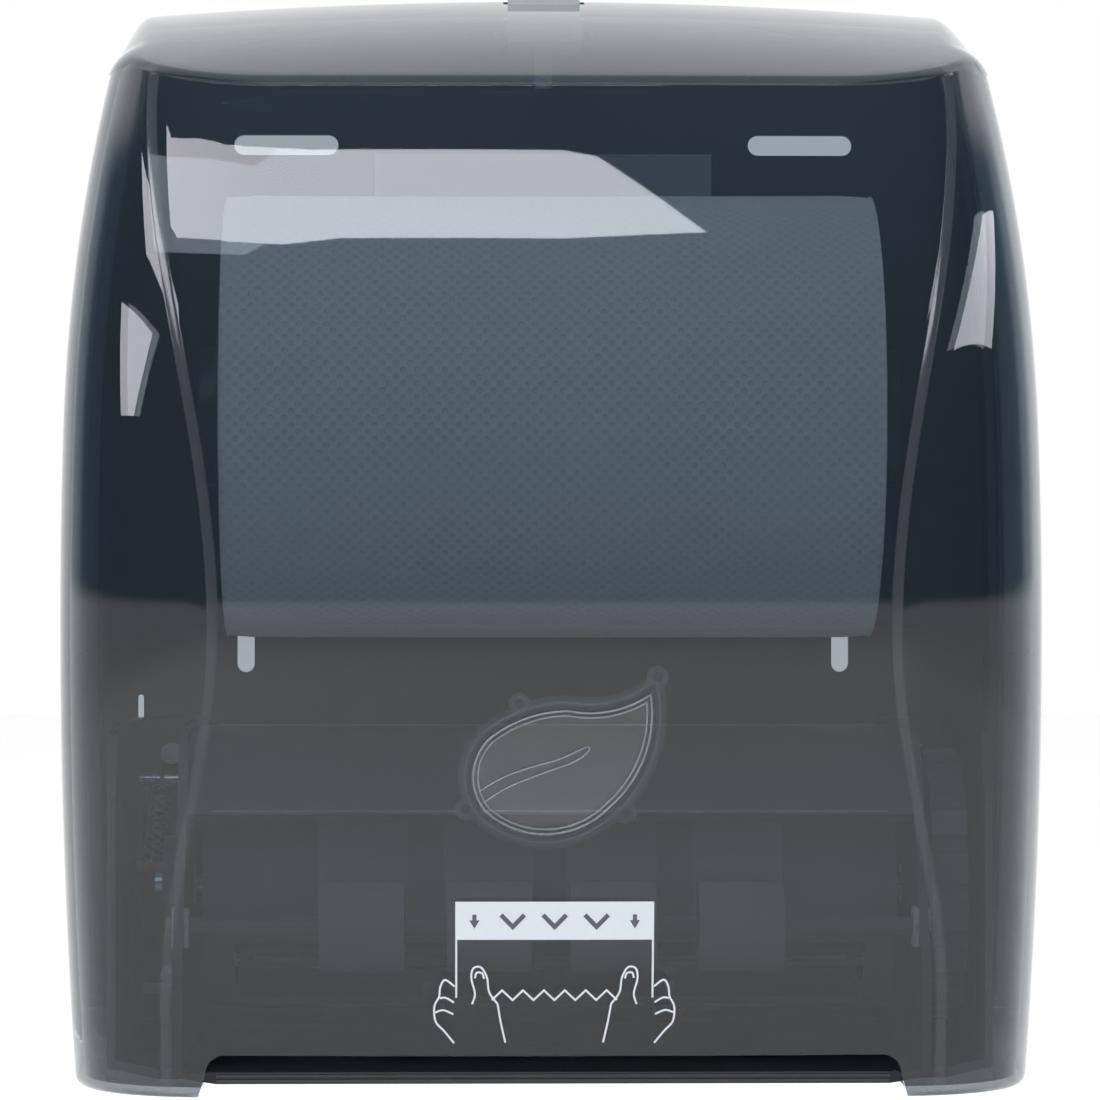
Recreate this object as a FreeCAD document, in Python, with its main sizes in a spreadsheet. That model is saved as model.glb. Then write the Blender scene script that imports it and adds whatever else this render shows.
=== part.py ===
"""Roll towel dispenser: a wall unit with a hinged see-through cover, a towel roll on two swing arms
and a hands-free feed mechanism whose drum carries its own knife.

Frame, in millimetres: X runs to the right, the wall is the plane y = 0 and the front faces -Y, Z is up.
A depth is a distance from the wall, so a point at a depth has y = -depth. A level is a height.
The origin lies on the back of the unit, at the middle of the wall.
"""
import FreeCAD
import Part
import Sketcher
import math
import os
import re

os.makedirs("parts", exist_ok=True)
doc = FreeCAD.newDocument("RollTowelDispenser")
V = FreeCAD.Vector

# Driving dimensions, in millimetres and degrees
SIZES = {
    # Outline of the cover and of the back plate, seen from the front
    "half_width": 155.2,
    "widest_level": -30.0,
    "side_bow_radius": 2400.0,
    "shoulder_level": 30.0,
    "shoulder_radius": 800.0,
    "top_level": 176.0,
    "top_arch_radius": 1600.0,
    "bottom_level": -172.0,
    "plate_corner_radius": 6.0,
    # Side profile of the cover
    "full_depth": 216.0,
    "deepest_level": -25.0,
    "upper_front_radius": 323.0,
    "lower_front_radius": 428.0,
    "side_draft": 2.0,
    "corner_radius": 57.2,
    "foot_corner_radius": 42.0,
    "front_radius": 1400.0,
    "crease_level": 135.0,
    "crease_depth": 173.5,
    "crease_arch_radius": 5200.0,
    "roof_radius": 1130.0,
    "roof_edge_round": 5.0,
    "bottom_edge_round": 4.0,
    "cover_wall": 3.0,
    "cover_back_gap": 1.0,
    # Sunk front panel of the cover
    "panel_step": 1.0,
    "panel_band": 3.6,
    "panel_waist_inset": 54.2,
    "panel_waist_level": -32.0,
    "panel_top_inset": 33.7,
    "panel_foot_inset": 41.2,
    "panel_fade_level": -118.0,
    "panel_foot_level": -146.0,
    # Towel exit in the cover's lower edge
    "exit_half_width": 106.0,
    "exit_top_level": -158.6,
    "exit_corner_radius": 6.0,
    # Cover hinge
    "hinge_depth": 16.0,
    "hinge_level": -163.0,
    "hinge_pin_radius": 3.0,
    "hinge_boss_radius": 7.0,
    "hinge_sweep_radius": 11.0,
    "hinge_pin_reach": 10.6,
    # Back plate
    "plate_lip": 4.0,
    "plate_wall": 3.0,
    "rim_depth": 20.0,
    "rim_wall": 2.5,
    "rim_clearance": 1.6,
    "rim_foot_level": -150.0,
    "upper_slot_x": 86.3,
    "upper_slot_level": 128.0,
    "upper_slot_length": 35.0,
    "upper_slot_width": 6.8,
    "lower_slot_x": 99.8,
    "lower_slot_level": -29.0,
    "lower_slot_length": 40.0,
    "lower_slot_width": 5.8,
    "peg_slot_inset": 20.2,
    "peg_slot_level": -61.0,
    "peg_slot_length": 9.0,
    "peg_slot_width": 2.0,
    "label_width": 113.0,
    "label_height": 60.0,
    "label_level": 95.0,
    "label_thickness": 0.4,
    # Towel roll
    "roll_depth": 107.0,
    "roll_level": 34.0,
    "roll_radius": 70.0,
    "roll_half_width": 101.0,
    "core_radius": 19.0,
    "core_wall": 1.5,
    # Roll arms
    "arm_gap": 0.5,
    "hub_flange": 2.5,
    "hub_flange_radius": 27.0,
    "hub_base_radius": 18.4,
    "hub_end_radius": 14.8,
    "hub_length": 14.0,
    "arm_thickness": 5.0,
    "arm_half_height": 13.0,
    "arm_end_radius": 22.0,
    "arm_pivot_depth": 12.0,
    "arm_barrel_radius": 5.5,
    "arm_pin_radius": 2.0,
    "arm_lug_height": 4.0,
    "arm_lug_gap": 0.4,
    # Side frames of the feed mechanism
    "gear_width": 25.0,
    "frame_wall": 3.0,
    "wing_inset": 18.2,
    "frame_top_level": -64.0,
    "frame_foot_level": -168.0,
    "frame_front_depth": 168.0,
    "frame_nose_level": -132.0,
    "frame_shoulder_depth": 128.0,
    "frame_round": 8.0,
    "frame_bevel_width": 18.0,
    "frame_bevel_depth": 136.0,
    # Feed drum
    "drum_depth": 95.0,
    "drum_level": -114.0,
    "drum_radius": 40.0,
    "grip_thickness": 0.8,
    "drum_wall": 2.4,
    "drum_end_gap": 8.0,
    "drum_rib_height": 5.0,
    "drum_cap": 3.5,
    "shaft_radius": 4.0,
    "shaft_fit": 0.05,
    "bearing_radius": 6.5,
    "bearing_flange_radius": 9.5,
    "bearing_flange": 1.5,
    "wheel_radius": 43.0,
    "wheel_width": 11.0,
    "wheel_notch_radius": 3.2,
    "crank_radius": 15.5,
    "crank_throw": 11.5,
    "crank_thickness": 4.0,
    "crank_pin_radius": 2.2,
    "crank_pin_length": 9.6,
    "crank_angle": 156.0,
    # Knife inside the drum
    "knife_pivot_radius": 24.0,
    "knife_pivot_angle": -76.0,
    "knife_reach": 26.0,
    "knife_rest_radius": 37.0,
    "knife_end_gap": 7.0,
    "knife_blade_thickness": 1.0,
    "knife_tooth_pitch": 5.0,
    "knife_tooth_depth": 3.0,
    "knife_carrier_thickness": 4.0,
    "knife_pin_radius": 2.0,
    "knife_slot_start": -70.0,
    "knife_slot_end": -24.0,
    # Pinch rollers
    "pinch_radius": 13.7,
    "pinch_gap": 0.5,
    "pinch_angle": -10.2,
    "pinch_width": 26.0,
    "pinch_inner_x": 19.0,
    "pinch_outer_x": 58.0,
    "pinch_axle_radius": 3.0,
    "saddle_height": 12.0,
    "saddle_depth": 10.0,
    "saddle_width": 5.0,
    "saddle_travel": 6.0,
    # Hood over the drum
    "hood_gap": 8.2,
    "hood_wall": 2.5,
    "hood_front_angle": 27.0,
    "hood_rear_angle": 152.0,
    "hood_lip": 3.5,
    # Exit deck
    "deck_wall": 2.5,
    "deck_nose_depth": 183.0,
    "deck_nose_height": 3.5,
    "deck_nose_inset": 11.0,
    "deck_bevel_depth": 168.0,
    "deck_ridge": 0.7,
    "fit_gap": 0.3,
    # Drive spring
    "spring_post_depth": 28.0,
    "spring_post_level": -84.0,
    "spring_coil_radius": 3.1,
    "spring_wire_radius": 0.5,
    "spring_turns": 9.0,
    # Latch
    "latch_depth": 12.0,
    "latch_level": 165.5,
    "latch_half_width": 12.0,
    "latch_pin_radius": 2.0,
    "latch_barrel_radius": 4.0,
    "latch_tab_height": 13.0,
    "latch_ear": 3.0,
    "latch_side_gap": 0.8,
    "keeper_depth": 24.0,
    "keeper_wall": 2.0,
    "keeper_level": 163.0,
    "keeper_clearance": 0.6,
    # Level window
    "window_rim": 1.0,
    "window_rim_width": 1.1,
    "window_flange": 4.4,
    "window_wall": 1.6,
    "window_ear_radius": 3.1,
    "window_stake_radius": 1.3,
    # Fasteners
    "screw_head_radius": 3.6,
    "screw_head_height": 2.0,
}

# Places and widths that follow other sizes by a named clearance
LINKED = {
    "panel_waist": "half_width - panel_waist_inset",
    "panel_top_half_width": "half_width - panel_top_inset",
    "panel_foot_half_width": "half_width - panel_foot_inset",
    "peg_slot_x": "half_width - peg_slot_inset",
    "wing_x": "half_width - wing_inset",
    "cheek_x": "wing_x - gear_width",
    "frame_bevel_x": "wing_x - frame_bevel_width",
    "drum_half_length": "cheek_x - drum_end_gap",
    "knife_half_length": "drum_half_length - knife_end_gap",
    "deck_nose_half_width": "cheek_x - deck_nose_inset",
}

sheet = doc.addObject("Spreadsheet::Sheet", "Sizes")
for row, (alias, number) in enumerate(SIZES.items(), 1):
    sheet.set("A%d" % row, alias)
    sheet.set("B%d" % row, str(number))
    sheet.setAlias("B%d" % row, alias)
doc.recompute()


def bound(text):
    """Put the sheet's name before each size that an expression names, and write out the linked ones."""
    def named(word):
        name = word.group()
        if name in LINKED:
            return "(%s)" % bound(LINKED[name])
        return "Sizes." + name if name in SIZES else name
    return re.sub(r"[a-z][a-z_0-9]*", named, str(text))


def value(text):
    """Work out an expression on the sheet's sizes."""
    return float(sheet.evalExpression(bound(text)))


# Basic solids, each bound to the sheet

TURN = {
    "x": FreeCAD.Rotation(V(0, 1, 0), 90),
    "y": FreeCAD.Rotation(V(1, 0, 0), 90),
    "z": FreeCAD.Rotation(),
}


def place(item, x, y, z):
    """Bind an object's position to three expressions."""
    for axis, text in zip("xyz", (x, y, z)):
        item.setExpression("Placement.Base." + axis, bound(text))


def box(name, x, depth, level):
    """A block between two values on each axis; the depths are measured from the wall."""
    item = doc.addObject("Part::Box", name)
    item.setExpression("Length", bound("(%s) - (%s)" % (x[1], x[0])))
    item.setExpression("Width", bound("(%s) - (%s)" % (depth[1], depth[0])))
    item.setExpression("Height", bound("(%s) - (%s)" % (level[1], level[0])))
    place(item, x[0], "-(%s)" % depth[1], level[0])
    return item


def rod(name, radius, axis, span, centre):
    """A cylinder along an axis. Along y its span is two depths, and its centre is (x, level)."""
    item = doc.addObject("Part::Cylinder", name)
    item.setExpression("Radius", bound(radius))
    item.setExpression("Height", bound("(%s) - (%s)" % (span[1], span[0])))
    item.Placement = FreeCAD.Placement(V(), TURN[axis])
    if axis == "x":
        place(item, span[0], "-(%s)" % centre[0], centre[1])
    elif axis == "y":
        place(item, centre[0], "-(%s)" % span[0], centre[1])
    else:
        place(item, centre[0], "-(%s)" % centre[1], span[0])
    return item


def joined(name, *pieces):
    """Fuse solids into one."""
    item = doc.addObject("Part::MultiFuse", name)
    item.Shapes = list(pieces)
    item.Refine = True
    return item


def cut(name, base, *tools):
    """Cut tools from a base, one after the other; the last cut has the name."""
    for number, tool in enumerate(tools, 1):
        item = doc.addObject("Part::Cut", name if number == len(tools) else "%s_step_%d" % (name, number))
        item.Base = base
        item.Tool = tool
        base = item
    return item


def common(name, one, other):
    """The space that two solids share."""
    item = doc.addObject("Part::Common", name)
    item.Base = one
    item.Tool = other
    return item


def group(name, *pieces):
    """Keep several separate solids under one name."""
    item = doc.addObject("Part::Compound", name)
    item.Links = list(pieces)
    return item


def rounded(name, base, radius, wanted):
    """Round the edges that pass a test, all with one radius."""
    doc.recompute()
    item = doc.addObject("Part::Fillet", name)
    item.Base = base
    size = value(radius)
    item.Edges = [(number, size, size) for number, edge in enumerate(base.Shape.Edges, 1) if wanted(edge)]
    return item


# Bodies made from sketches

PLANES = {"front": "XZ_Plane", "side": "YZ_Plane", "top": "XY_Plane"}


def new_body(name):
    """An empty body."""
    return doc.addObject("PartDesign::Body", name)


def new_sketch(body, name, plane, offset="0"):
    """A sketch on an origin plane: front offsets are depths, side offsets are x, top offsets levels."""
    sketch = body.newObject("Sketcher::SketchObject", name)
    support = [item for item in body.Origin.OriginFeatures if item.Role == PLANES[plane]][0]
    sketch.AttachmentSupport = (support, [""])
    sketch.MapMode = "FlatFace"
    sketch.setExpression("AttachmentOffset.Base.z", bound(offset))
    return sketch


def polygon(sketch, points, flip=1):
    """Draw a closed outline whose corners are bound to the sheet. A side view flips depths to y."""
    corners = [V(flip * value(x), value(y), 0) for x, y in points]
    start = sketch.GeometryCount
    for here, there in zip(corners, corners[1:] + corners[:1]):
        sketch.addGeometry(Part.LineSegment(here, there), False)
    count = len(points)
    for index, (x, y) in enumerate(points):
        edge = start + index
        sketch.addConstraint(Sketcher.Constraint("Coincident", start + (index - 1) % count, 2, edge, 1))
        for kind, text, number in (("DistanceX", x, corners[index].x), ("DistanceY", y, corners[index].y)):
            sign = "-" if flip < 0 and kind == "DistanceX" else ""
            place_of = sketch.addConstraint(Sketcher.Constraint(kind, -1, 1, edge, 1, number))
            sketch.setExpression("Constraints[%d]" % place_of, bound("%s(%s)" % (sign, text)))


def ring(sketch, radius, x, y, flip=1):
    """Draw a circle bound to the sheet."""
    centre = V(flip * value(x), value(y), 0)
    circle = sketch.addGeometry(Part.Circle(centre, V(0, 0, 1), value(radius)), False)
    sign = "-" if flip < 0 else ""
    number = sketch.addConstraint(Sketcher.Constraint("Radius", circle, value(radius)))
    sketch.setExpression("Constraints[%d]" % number, bound(radius))
    number = sketch.addConstraint(Sketcher.Constraint("DistanceX", -1, 1, circle, 3, centre.x))
    sketch.setExpression("Constraints[%d]" % number, bound("%s(%s)" % (sign, x)))
    number = sketch.addConstraint(Sketcher.Constraint("DistanceY", -1, 1, circle, 3, centre.y))
    sketch.setExpression("Constraints[%d]" % number, bound(y))


def chain(sketch, edges):
    """Draw a closed chain of lines and arcs that were worked out from the sheet, and hold each where it is."""
    start = sketch.GeometryCount
    sketch.addGeometry(edges, False)
    for index in range(len(edges)):
        sketch.addConstraint(Sketcher.Constraint("Block", start + index))


def pad(body, name, sketch, length):
    """Raise a sketch along its plane's normal."""
    feature = body.newObject("PartDesign::Pad", name)
    feature.Profile = sketch
    feature.setExpression("Length", bound(length))
    return feature


def pocket(body, name, sketch, length):
    """Cut a sketch along its plane's normal."""
    feature = body.newObject("PartDesign::Pocket", name)
    feature.Profile = sketch
    feature.Reversed = True
    feature.setExpression("Length", bound(length))
    return feature


def round_edges(body, name, radius, wanted):
    """Round the edges of a body's last feature that pass a test."""
    doc.recompute()
    base = body.Tip
    names = ["Edge%d" % number for number, edge in enumerate(base.Shape.Edges, 1) if wanted(edge)]
    feature = body.newObject("PartDesign::Fillet", name)
    feature.Base = (base, names)
    feature.setExpression("Radius", bound(radius))
    return feature


def runs_along(edge, direction):
    """Whether an edge is straight and parallel to a direction."""
    if edge.Curve.TypeId != "Part::GeomLine":
        return False
    return abs(edge.Curve.Direction.dot(direction)) > 0.999


# Outline of the unit seen from the front

def half_width_at(level):
    """Half the width at the wall: one long bow that tightens above the shoulder."""
    drop = (level - value("widest_level")) ** 2 / (2 * value("side_bow_radius"))
    above = level - value("shoulder_level")
    if above > 0:
        drop += above ** 2 / (2 * value("shoulder_radius"))
    return value("half_width") - drop


def depth_at(level):
    """Depth of the front at the middle: two arcs that meet at the deepest level."""
    rise = level - value("deepest_level")
    radius = value("upper_front_radius" if rise > 0 else "lower_front_radius")
    return value("full_depth") - radius + math.sqrt(radius ** 2 - rise ** 2)


def corner_at(level):
    """Radius of the round front corners: one size above the deepest level, tighter towards the foot."""
    below = min(max((value("deepest_level") - level) / value("deepest_level - bottom_level"), 0.0), 1.0)
    return value("corner_radius") + (value("foot_corner_radius") - value("corner_radius")) * below ** 2


def arc(a, middle, b):
    """An arc through three points."""
    return Part.Arc(a, middle, b)


def on_circle(centre, radius, angle):
    """A point of a circle in a sketch."""
    return V(centre.x + radius * math.cos(angle), centre.y + radius * math.sin(angle), 0)


def plate_outline(sketch, inset):
    """The unit's outline from the front, drawn in by an inset: bowed sides, arched top, flat foot."""
    top = value("top_level") - inset
    foot = value("bottom_level") + inset
    radius = value("top_arch_radius")
    side = top
    for _ in range(4):
        half = half_width_at(side) - inset
        side = top - radius + math.sqrt(radius ** 2 - half ** 2)
    middle = value("shoulder_level")

    def at(level, sign):
        return V(sign * (half_width_at(level) - inset), level, 0)
    edges = [
        Part.LineSegment(at(foot, -1), at(foot, 1)),
        arc(at(foot, 1), at((foot + middle) / 2, 1), at(middle, 1)),
        arc(at(middle, 1), at((side + middle) / 2, 1), at(side, 1)),
        arc(at(side, 1), V(0, top, 0), at(side, -1)),
        arc(at(side, -1), at((side + middle) / 2, -1), at(middle, -1)),
        arc(at(middle, -1), at((foot + middle) / 2, -1), at(foot, -1)),
    ]
    chain(sketch, edges)


# Hull of the cover: level sections lofted from the foot to above the roof

class Section:
    """One level section of the hull: drafted sides, round front corners and a slightly bowed front."""

    def __init__(self, level, inset):
        self.level = level
        self.draft = math.tan(math.radians(value("side_draft")))
        self.side_at_wall = half_width_at(level) - inset
        self.depth = depth_at(level) - inset
        self.corner = corner_at(level) - inset
        self.front = value("front_radius") - inset
        lean = math.hypot(1, self.draft)
        low, high = 0.0, self.depth
        for _ in range(60):
            deep = (low + high) / 2
            x = self.side_at_wall - self.draft * deep - self.corner * lean
            if math.hypot(x, deep - self.depth + self.front) < self.front - self.corner:
                low = deep
            else:
                high = deep
        self.centre = V(x, deep, 0)
        self.side_angle = math.atan(self.draft)
        self.front_angle = math.atan2(deep - self.depth + self.front, x)

    def on_corner(self, angle):
        """A point on the right front corner, as (x, depth)."""
        return on_circle(self.centre, self.corner, angle)

    def angle_at(self, x):
        """Where the corner crosses a distance from the middle."""
        return math.acos((x - self.centre.x) / self.corner)

    def outline(self, back):
        """The closed outline, starting at a depth behind the sides."""
        side = self.on_corner(self.side_angle)
        front = self.on_corner(self.front_angle)
        corner = self.on_corner((self.side_angle + self.front_angle) / 2)
        rear = V(self.side_at_wall - self.draft * back, back, 0)
        nose = V(0, self.depth, 0)

        def left(point):
            return V(-point.x, point.y, 0)
        points = [
            (rear, None, side),
            (side, corner, front),
            (front, nose, left(front)),
            (left(front), left(corner), left(side)),
            (left(side), None, left(rear)),
            (left(rear), None, rear),
        ]
        return [draw_on_plan(*item) for item in points]


def draw_on_plan(start, middle, end):
    """A line or arc of a level section; the plan's y is minus the depth."""
    start, end = V(start.x, -start.y, 0), V(end.x, -end.y, 0)
    if middle is None:
        return Part.LineSegment(start, end)
    return Part.Arc(start, V(middle.x, -middle.y, 0), end)


HULL_LEVELS = ["bottom_level - 12", "bottom_level + 40", "bottom_level + 90", "widest_level",
               "shoulder_level", "shoulder_level + 45", "crease_level - 28", "crease_level + 10",
               "top_level + 10"]


def hull(name, inset, back):
    """The solid inside the cover's outer surface, drawn in by an inset."""
    profiles = []
    for number, text in enumerate(HULL_LEVELS):
        sketch = doc.addObject("Sketcher::SketchObject", "%s_section_%d" % (name, number))
        place(sketch, "0", "0", text)
        chain(sketch, Section(value(text), value(inset)).outline(value(back)))
        profiles.append(sketch)
    item = doc.addObject("Part::Loft", name)
    item.Sections = profiles
    item.Solid = True
    return item


def roof_drop(depth):
    """How far the middle of the roof lies below its rear edge, on one long arc."""
    deep, fall = value("crease_depth"), value("top_level - crease_level")
    chord = math.hypot(deep, fall)
    radius = value("roof_radius")
    sag = math.sqrt(radius ** 2 - chord ** 2 / 4)
    centre_depth = deep / 2 - sag * fall / chord
    centre_level = -fall / 2 - sag * deep / chord
    return -(centre_level + math.sqrt(radius ** 2 - (depth - centre_depth) ** 2))


def under_roof(name, inset):
    """Everything below the arched, sloping roof, drawn in by an inset."""
    profiles = []
    reach = value("half_width") + 20
    rear_bow = 1 / value("top_arch_radius")
    front_bow = 1 / value("crease_arch_radius")
    for number, share in enumerate((-0.12, 0.0, 0.5, 1.0, 1.35)):
        deep = share * value("crease_depth")
        level = value("top_level") - roof_drop(deep) - value(inset)
        bow = rear_bow + (front_bow - rear_bow) * min(max(share, 0), 1)
        fall = bow * reach ** 2 / 2
        foot = value("bottom_level") - 30
        sketch = doc.addObject("Sketcher::SketchObject", "%s_section_%d" % (name, number))
        sketch.Placement = FreeCAD.Placement(V(0, -deep, 0), FreeCAD.Rotation(V(1, 0, 0), 90))
        corners = [V(-reach, foot, 0), V(reach, foot, 0), V(reach, level - fall, 0), V(-reach, level - fall, 0)]
        chain(sketch, [
            Part.LineSegment(corners[0], corners[1]),
            Part.LineSegment(corners[1], corners[2]),
            Part.Arc(corners[2], V(0, level, 0), corners[3]),
            Part.LineSegment(corners[3], corners[0]),
        ])
        profiles.append(sketch)
    item = doc.addObject("Part::Loft", name)
    item.Sections = profiles
    item.Solid = True
    return item


# Cover: one moulded see-through shell with a sunk front panel

def panel_half_width(level):
    """Half the width of the sunk panel: it narrows to a waist and widens above and below."""
    waist, waist_level = value("panel_waist"), value("panel_waist_level")
    if level > waist_level:
        end, end_level = value("panel_top_half_width"), value("crease_level")
    else:
        end, end_level = value("panel_foot_half_width"), value("panel_foot_level")
    share = min((level - waist_level) / (end_level - waist_level), 1.0)
    return waist + (end - waist) * (1 - math.cos(math.pi * share)) / 2


def panel_sink(level):
    """How far the panel lies below the hull: the full step, fading out above the towel exit."""
    fade, foot = value("panel_fade_level"), value("panel_foot_level")
    if level >= fade:
        return value("panel_step")
    return value("panel_step") * (1 - 1.4 * (fade - level) / (fade - foot))


def panel_recess(name):
    """The space in front of the sunk panel, with a slanting band along both sides."""
    profiles = []
    levels = ["panel_foot_level", "panel_foot_level + 14", "panel_fade_level", "panel_fade_level + 28",
              "panel_waist_level - 28", "panel_waist_level", "panel_waist_level + 42", "shoulder_level + 20",
              "crease_level - 45", "crease_level - 15", "crease_level - 2"]
    for number, text in enumerate(levels):
        level = value(text)
        skin, sunk = Section(level, 0), Section(level, panel_sink(level))
        reach = panel_half_width(level)
        edge = sunk.angle_at(reach - value("panel_band"))
        inner = sunk.on_corner(edge)
        outer = skin.on_corner(skin.angle_at(reach))
        beyond = outer + (outer - inner) * 0.6
        far = V(beyond.x, value("full_depth") + 20, 0)
        corner = sunk.on_corner((edge + sunk.front_angle) / 2)
        front = sunk.on_corner(sunk.front_angle)

        def left(point):
            return V(-point.x, point.y, 0)
        steps = [
            (inner, corner, front),
            (front, V(0, sunk.depth, 0), left(front)),
            (left(front), left(corner), left(inner)),
            (left(inner), None, left(beyond)),
            (left(beyond), None, left(far)),
            (left(far), None, far),
            (far, None, beyond),
            (beyond, None, inner),
        ]
        sketch = doc.addObject("Sketcher::SketchObject", "%s_section_%d" % (name, number))
        place(sketch, "0", "0", text)
        chain(sketch, [draw_on_plan(*step) for step in steps])
        profiles.append(sketch)
    item = doc.addObject("Part::Loft", name)
    item.Sections = profiles
    item.Solid = True
    return item


# Level window: a leaf outline in five arcs, each given by its start and a point it passes
LEAF_TIP = (28.1, -50.1)
LEAF_ARCS = [
    (LEAF_TIP, (26.6, -68.4)),
    ((16.4, -83.6), (-3.2, -91.9)),
    ((-20.4, -85.2), (-24.3, -74.4)),
    ((-19.8, -63.6), (-9.2, -57.5)),
    ((4.2, -55.1), (17.6, -54.9)),
]
LEAF_EARS = [(30.1, -45.3), (-10.4, -53.2), (-26.2, -84.3), (20.9, -85.5)]


def leaf_sketch():
    """The window's see-through outline, seen from the front."""
    sketch = doc.addObject("Sketcher::SketchObject", "leaf_outline")
    sketch.Placement = FreeCAD.Placement(V(), TURN["y"])
    ends = [start for start, _ in LEAF_ARCS[1:]] + [LEAF_TIP]
    chain(sketch, [
        Part.Arc(V(*start, 0), V(*through, 0), V(*end, 0)) for (start, through), end in zip(LEAF_ARCS, ends)])
    return sketch


def leaf_prism(name, sketch, margin=None):
    """A prism that stands forward from the wall over the leaf, widened by a margin if one is given."""
    item = doc.addObject("Part::Extrusion", name)
    item.Base = sketch
    if margin:
        item.Base = doc.addObject("Part::Offset2D", name + "_outline")
        item.Base.Source = sketch
        item.Base.setExpression("Value", bound(margin))
    item.Dir = V(0, -1, 0)
    item.setExpression("LengthFwd", bound("full_depth + 20"))
    item.Solid = True
    return item


def layer(name, prism, outer, inner):
    """The part of a prism between two insets of the hull."""
    slab = cut(name + "_slab", hull(name + "_skin", outer, "0"), hull(name + "_core", inner, "-10"))
    return common(name, prism, slab)


def make_window(leaf):
    """The clear window and the four stakes that hold it to the cover."""
    depth = ("0", "full_depth + 20")
    ears = [rod("window_ear_%d" % number, "window_ear_radius", "y", depth, (x, level))
            for number, (x, level) in enumerate(LEAF_EARS)]
    holes = [rod("window_hole_%d" % number, "window_stake_radius + 0.1", "y", depth, (x, level))
             for number, (x, level) in enumerate(LEAF_EARS)]
    pins = [rod("stake_pin_%d" % number, "window_stake_radius", "y", depth, (x, level))
            for number, (x, level) in enumerate(LEAF_EARS)]
    heads = [rod("stake_head_%d" % number, "window_stake_radius + 0.9", "y", depth, (x, level))
             for number, (x, level) in enumerate(LEAF_EARS)]
    flange_back = "cover_wall + 0.1 + window_wall"
    pane = layer("window_pane", leaf_prism("pane_prism", leaf), "panel_step", "panel_step + window_wall")
    rim = layer("window_rim_ring",
                cut("rim_prism", leaf_prism("rim_outer", leaf),
                    leaf_prism("rim_inner", leaf, "-window_rim_width")),
                "panel_step - window_rim * 0.6", flange_back)
    flange = layer("window_flange_ring",
                   cut("flange_prism", joined("flange_outer", leaf_prism("flange_wide", leaf, "window_flange"),
                                              *ears), leaf_prism("flange_inner", leaf, "-window_rim_width")),
                   "cover_wall + 0.1", flange_back)
    lens = cut("window_lens", joined("window_blank", pane, rim, flange), *holes)
    shanks = layer("stake_shanks", joined("stake_pins", *pins), "cover_wall + 0.05", flange_back)
    caps = layer("stake_caps", joined("stake_heads", *heads), flange_back, flange_back + " + 1")
    return lens, joined("window_stakes", shanks, caps)


def make_cover(leaf):
    """The cover shell, with its roof, lobes at the foot, hinge bosses and openings."""
    def upper(edge):
        bounds = edge.BoundBox
        return bounds.ZMin > value("crease_level - 14") and bounds.YMin < -value("plate_lip") - 3

    def lower(edge):
        bounds = edge.BoundBox
        return bounds.ZMax < value("bottom_level") + 6 and bounds.YMin < -value("plate_lip") - 3

    def blank(name, inset, back):
        """The hull under the roof, closed at the foot, with rounded roof and foot edges."""
        body = common(name + "_hull", hull(name + "_sides", inset, back), under_roof(name + "_roof", inset))
        foot = box(name + "_foot", ("-2 * half_width", "2 * half_width"), ("-50", "2 * full_depth"),
                   ("bottom_level - 60", "bottom_level + %s" % inset))
        solid = cut(name + "_closed", body, foot)
        top = rounded(name + "_roof_round", solid, "roof_edge_round - (%s)" % inset, upper)
        return rounded(name + "_round", top, "bottom_edge_round - (%s)" % inset, lower)

    shell = cut("cover_hollow", blank("skin", "0", "plate_lip + cover_back_gap"),
                blank("cavity", "cover_wall", "-10"))

    exit_body = new_body("exit_cutter")
    sketch = new_sketch(exit_body, "exit_outline", "front", "-10")
    polygon(sketch, [("-(exit_half_width + 2)", "bottom_level - 5"), ("exit_half_width + 2", "bottom_level - 5"),
                     ("exit_half_width - 2", "exit_top_level"), ("-(exit_half_width - 2)", "exit_top_level")])
    pad(exit_body, "exit_block", sketch, "full_depth + 40")
    round_edges(exit_body, "exit_corners", "exit_corner_radius",
                lambda edge: runs_along(edge, V(0, 1, 0)) and edge.BoundBox.ZMin > value("exit_top_level - 1"))

    trim = cut("hinge_corner",
               box("hinge_corner_block", ("-2 * half_width", "2 * half_width"), ("-5", "hinge_depth"),
                   ("bottom_level - 10", "hinge_level")),
               rod("hinge_corner_round", "hinge_sweep_radius", "x", ("-2 * half_width", "2 * half_width"),
                   ("hinge_depth", "hinge_level")))
    notch = box("latch_notch", ("-(latch_half_width + 1.5)", "latch_half_width + 1.5"), ("0", "latch_depth + 6"),
                ("keeper_level", "top_level + 20"))
    opened = cut("cover_openings", shell, panel_recess("panel_recess"), exit_body, trim, notch,
                 leaf_prism("window_hole_prism", leaf, "fit_gap"))

    bosses = []
    bores = []
    for side, name in ((-1, "left"), (1, "right")):
        near, far = "wing_x + 1", "wing_x + hinge_pin_reach + cover_wall"
        span = (near, far) if side > 0 else ("-(%s)" % far, "-(%s)" % near)
        tip = "wing_x + hinge_pin_reach + 0.3"
        bore = (near, tip) if side > 0 else ("-(%s)" % tip, "-(%s)" % near)
        centre = ("hinge_depth", "hinge_level")
        bosses.append(rod("%s_hinge_boss" % name, "hinge_boss_radius", "x", span, centre))
        bores.append(rod("%s_hinge_bore" % name, "hinge_pin_radius + shaft_fit", "x", bore, centre))
    inside = common("bosses_inside", joined("hinge_bosses", *bosses), hull("boss_limit", "0.8", "0"))
    return cut("cover_shell", joined("cover_with_bosses", opened, inside), *bores)


def make_keeper():
    """The catch under the roof that the latch hooks."""
    strip = box("keeper_strip", ("-latch_half_width", "latch_half_width"),
                ("keeper_depth", "keeper_depth + keeper_wall"), ("keeper_level", "top_level"))
    return common("latch_keeper", strip, under_roof("keeper_limit", "cover_wall"))


# Back plate: a tray with a lip that backs the cover's edge and a rim that the cover closes over

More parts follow.
